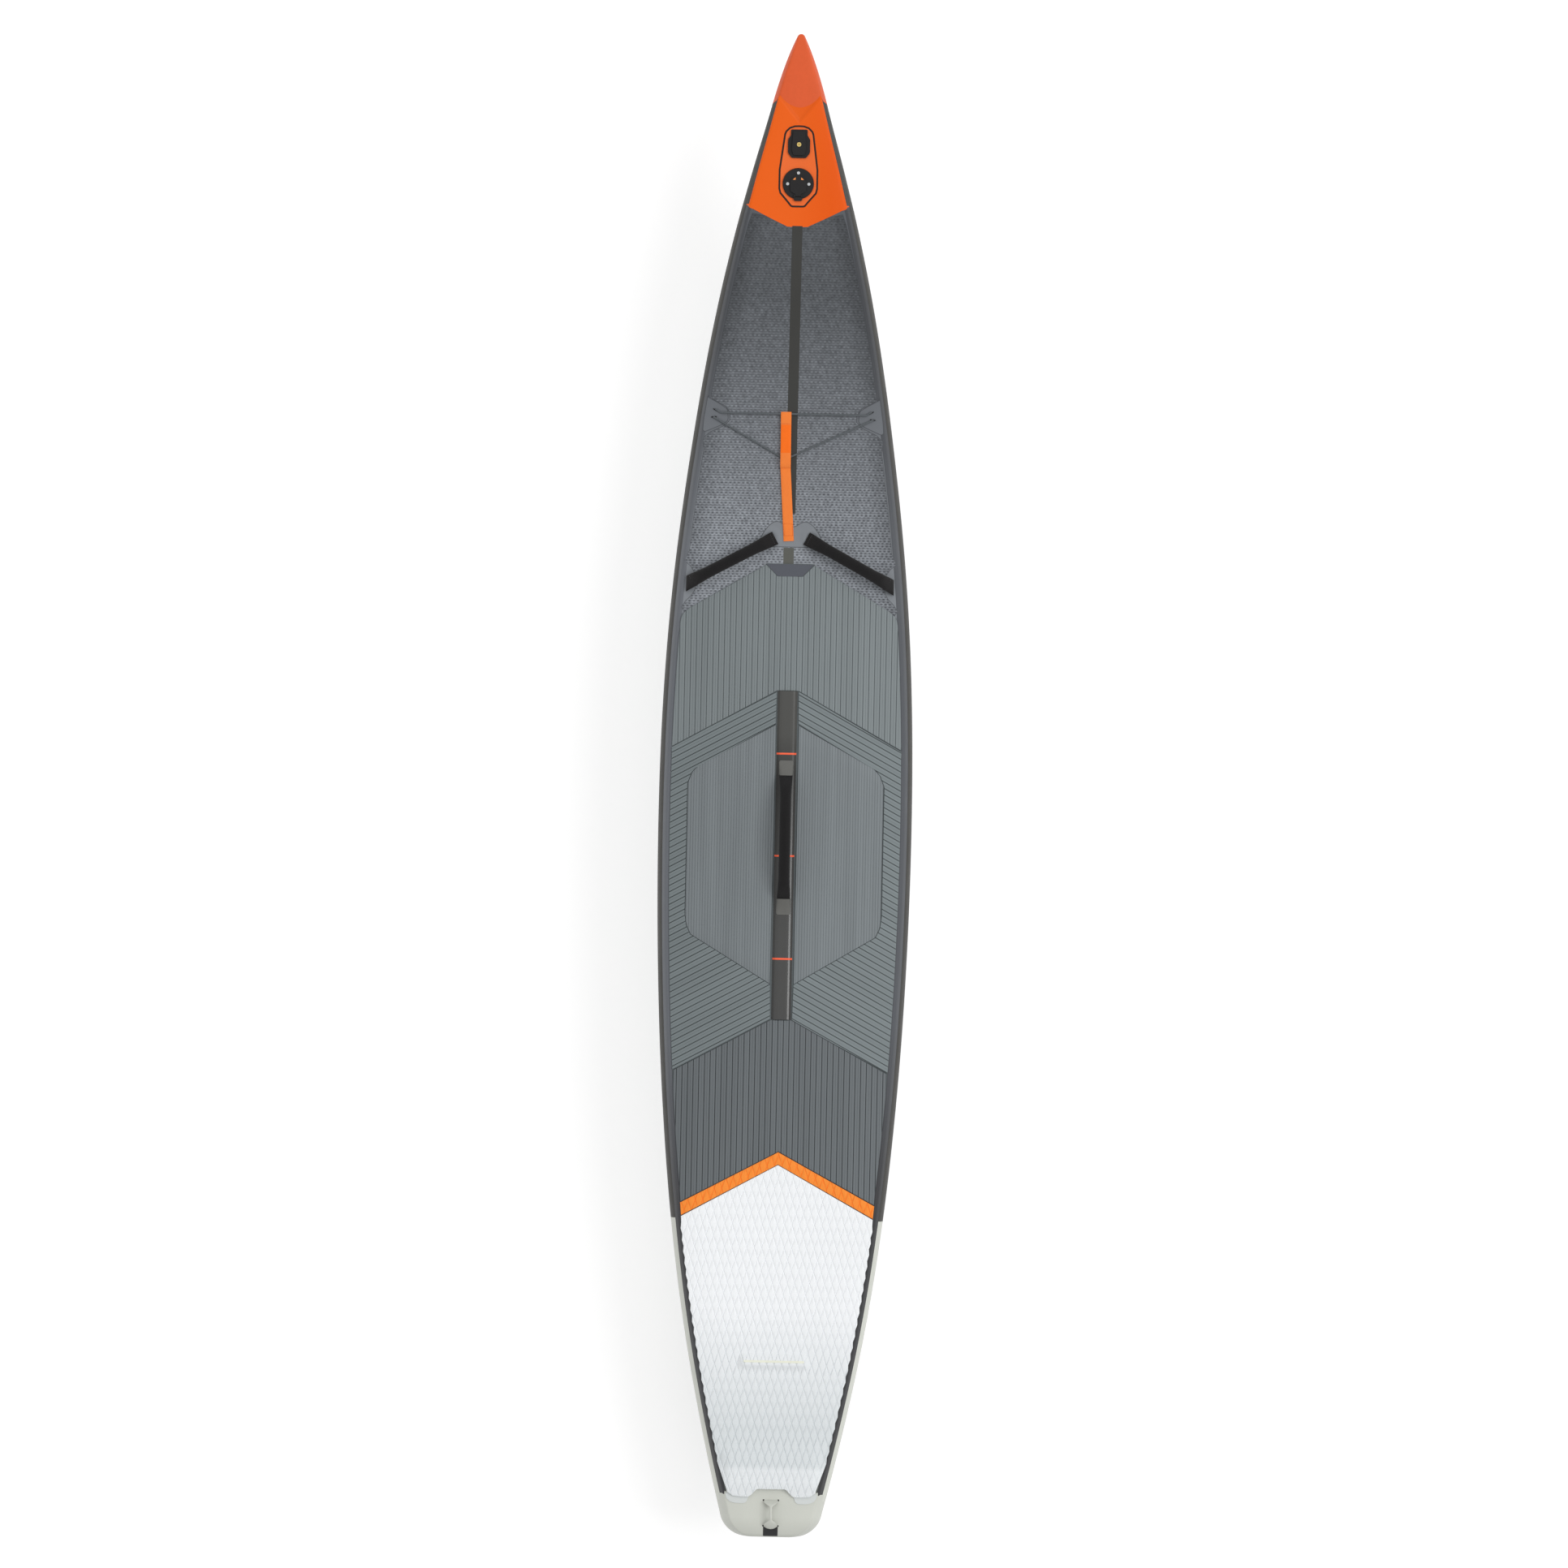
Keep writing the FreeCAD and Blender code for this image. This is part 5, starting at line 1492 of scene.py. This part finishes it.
def build_bungee():
    def line(a, b, count, low=6.0, lift=0.0):
        humps = [low + lift * math.sin(math.pi * share) for share in spread(0, 1, count)]
        return [lay(*place) for place in zip(spread(a[0], b[0], count), spread(a[1], b[1], count), humps)]

    end = ANCHORS[0][0] + 3
    across = line((end, 198), (CARGO_X, 184), 6, 3.5)
    across += line((CARGO_X, 178), (CARGO_X, -178), 30)
    across += line((CARGO_X, -184), (end, -198), 6, 3.5)
    parts = [tube(across, 2.3)]
    for side, sign in SIDES:
        parts.append(tube(line((ANCHORS[1][0], sign * 203), V_POINT, 26, 4.0, 2.0), 2.3))
    cord = join("cargo_cord", parts, "cord", 60)
    settle(cord, "cord_grey", "cargo_bungee")
    for side, sign in SIDES:
        node = "left" if sign > 0 else "right"
        tab = rounded(on_side(ANCHOR_TAB, sign), 6.0, 4)
        tab = [(x, math.copysign(min(abs(y), station(round(x, 2))[0] - 20), y)) for x, y in tab]
        rim = film("cargo_anchor_edge_" + side, inset(tab, -1.5), 0.8, "edge_line", 16.0)
        settle(rim, "patch_grey")
        piece = film("cargo_anchor_tab_" + side, tab, 1.0, "deck_smooth", 12.0,
                     relief=lambda x, y: 1.4 * math.exp(-((x - 940) / 9) ** 2 - ((abs(y) - 204) / 12) ** 2))
        settle(piece, "patch_grey", "bungee_anchor_" + node)
        slots = []
        for x, y in ANCHORS:
            lean = Vector((0.55 if x > CARGO_X else -0.1, 1.0)).normalized()
            rows = []
            for reach, half in ((-7, 0.5), (-5, 1.6), (5, 1.6), (8, 0.4)):
                px = x + lean.x * reach
                py = y + lean.y * reach
                rows.append([(px + a * half, sign * py, deck_height(px, py) + lift)
                             for a, lift in ((-1, 1.0), (1, 1.0), (1, 3.3), (-1, 3.3))])
            slots.append(rows)
        settle(join("cargo_anchor_slots_" + side, slots, "seal"), "patch_grey")


def build_strap():
    foot = (620.0, 5.5)
    fold = (808.0, 17.5)
    head = (945.0, 18.5)

    def beside(x):
        if x < fold[0]:
            return foot[1] + (fold[1] - foot[1]) * (x - foot[0]) / (fold[0] - foot[0])
        return fold[1] + (head[1] - fold[1]) * (x - fold[0]) / (head[0] - fold[0])

    def path(*stops):
        return [lay(x, beside(x), height) for x, height in stops]

    lower = path((620, 1.9), (640, 2.2), (655, 2.6), (670, 3.4), (700, 4.6), (740, 5.6), (780, 6.2),
                 (804, 6.6), (818, 7.6), (829, 8.4))
    upper = path((806, 9.4), (809, 11.6), (815, 13.2), (823, 13.8), (832, 13.2), (838, 11.4), (846, 9.8),
                 (874, 9.2), (902, 9.2), (927, 9.5), (938, 10.0), (944, 9.4), (946.5, 7.2))
    under = path((830, 3.4), (844, 3.8), (874, 4.6), (903, 4.6), (928, 3.8), (940, 2.6), (945.5, 4.4))
    label = path((840, 11.0), (874, 10.7), (914, 10.7))
    parts = [ribbon(lower, 13.0, 0.9), ribbon(upper, 13.3, 0.9), ribbon(under, 12.6, 0.8)]
    strap = join("cargo_strap_web", parts, "webbing_orange", 50)
    settle(strap, "webbing_orange", "cargo_strap")
    tag = join("cargo_strap_label", [ribbon(label, 12.4, 0.35)], "label_orange", 50)
    settle(tag, "webbing_orange")
    rows = []
    for x, height in ((917, 11.1), (846, 10.6), (664, 4.3), (634, 3.6)):
        y = beside(x)
        rows += stitch_line((x, y - 11.5), (x, y + 11.5), height, 3.0, 1.2, 0.4)
    for offset in (-11.2, 11.2):
        rows += stitch_line((634, beside(634) + offset), (664, beside(664) + offset), 3.9, 3.0, 1.2, 0.4)
    settle(join("cargo_strap_stitches", rows, "stitch_orange"), "webbing_orange")


# ---------- valve spring and prints on the lid

def build_valve_spring():
    """Coil between the bridge and the push button, built at full length; nothing here shortens it when the
    button goes down.
    """
    wire = 0.6
    low, high = node_box("valve_spring")
    foot = low.z + wire
    rise = high.z - wire - foot
    radius = (high.y - low.y) / 2 - wire
    pitch, steps_per_turn = 2.6, 24
    steps = round(steps_per_turn * rise / pitch)
    path = []
    for k in range(steps + 1):
        angle = TURN * k / steps_per_turn
        path.append((VALVE_X + radius * math.cos(angle), radius * math.sin(angle), foot + rise * k / steps))
    coil = loft("valve_spring_coil", tube(path, wire, 8), "steel", 60)
    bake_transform(coil)
    settle(coil, "steel", "valve_spring", body=None)


def build_arrows():
    """Two small arrow heads on the valve lid, pointing outward."""
    level = node_box("valve_cap")[1].z - 0.1
    parts = []
    corners = ((1540.6, 7.2), (1534.6, 14.0), (1534.6, 7.2))
    for sign in (1, -1):
        parts.append([[(x, sign * y, z) for x, y in corners] for z in (level, level + 0.45)])
    settle(join("valve_lid_arrows", parts, "arrow_print"), "panel_orange", body="valve_cap")


# ---------- stage

def build_stage():
    """Pale floor that is clear from below, an even white sky and three soft suns."""
    floor = bpy.data.meshes.new("floor")
    reach = 90.0
    level = cad_box[0][2] - 0.02
    floor.from_pydata([(-reach, -reach, level), (reach, -reach, level), (reach, reach, level),
                       (-reach, reach, level)], [], [(0, 1, 2, 3)])
    finish = Finish("floor", (206, 206, 206), 0.9, 0.004, 900.0)
    finish.shader.inputs["Emission Color"].default_value = (1.0, 1.0, 1.0, 1.0)
    finish.shader.inputs["Emission Strength"].default_value = 0.5
    underside = finish.add("ShaderNodeNewGeometry").outputs["Backfacing"]
    finish.put(finish.shader.inputs["Alpha"], finish.math("SUBTRACT", 1.0, underside))
    floor.materials.append(finish.done(specular=0.1))
    floor_object = bpy.data.objects.new("floor", floor)
    bpy.context.scene.collection.objects.link(floor_object)

    world = bpy.data.worlds.new("studio")
    world.use_nodes = True
    sky = world.node_tree.nodes["Background"]
    sky.inputs["Color"].default_value = (1.0, 1.0, 1.0, 1.0)
    sky.inputs["Strength"].default_value = 0.56
    bpy.context.scene.world = world

    def sun(name, strength, angle, direction):
        data = bpy.data.lights.new(name, "SUN")
        data.energy = strength
        data.angle = math.radians(angle)
        lamp = bpy.data.objects.new(name, data)
        lamp.rotation_euler = Vector(direction).to_track_quat("-Z", "Y").to_euler()
        bpy.context.scene.collection.objects.link(lamp)

    sun("key", 1.10, 30.0, (-0.12, 0.7, -1.0))
    sun("bow", 0.44, 40.0, (-0.75, -0.05, -1.0))
    sun("fill", 0.25, 70.0, (0.2, -0.3, -1.0))
    bpy.context.scene.view_settings.view_transform = "Standard"


def build_camera():
    """Long lens straight above; the board stands nearly upright in the frame and almost fills its height."""
    roll = math.radians(1.19)
    frame_width = 1.04421 * LENGTH * MM
    up = Vector((math.cos(roll), math.sin(roll), 0))
    right = Vector((math.sin(roll), -math.cos(roll), 0))
    back = Vector((0, 0, 1))
    distance = 40.0
    centre = Vector((0, 0, 0.11)) + (up * 0.001087 - right * 0.001139) * frame_width
    data = bpy.data.cameras.new("camera")
    data.sensor_width = 36.0
    data.lens = 36.0 * distance / frame_width
    data.clip_end = 200.0
    camera = bpy.data.objects.new("camera", data)
    place = Matrix((right, up, back)).transposed().to_4x4()
    place.translation = centre + back * distance
    camera.matrix_world = place
    bpy.context.scene.collection.objects.link(camera)
    bpy.context.scene.camera = camera


finish_cad_nodes()
build_deck()
build_bottom()
for side_name, side_sign in SIDES:
    build_side(side_name, side_sign, "left" if side_sign > 0 else "right")
build_nose()
build_tail()
build_field()
build_stringer()
build_cargo_patch()
build_fitting_panel()
build_badge()
build_pad()
build_tail_pad()
build_carbon_strip()
build_centre_handle()
build_side_handles()
build_leash_loop()
build_bungee()
build_strap()
build_valve_spring()
build_arrows()
build_stage()
build_camera()
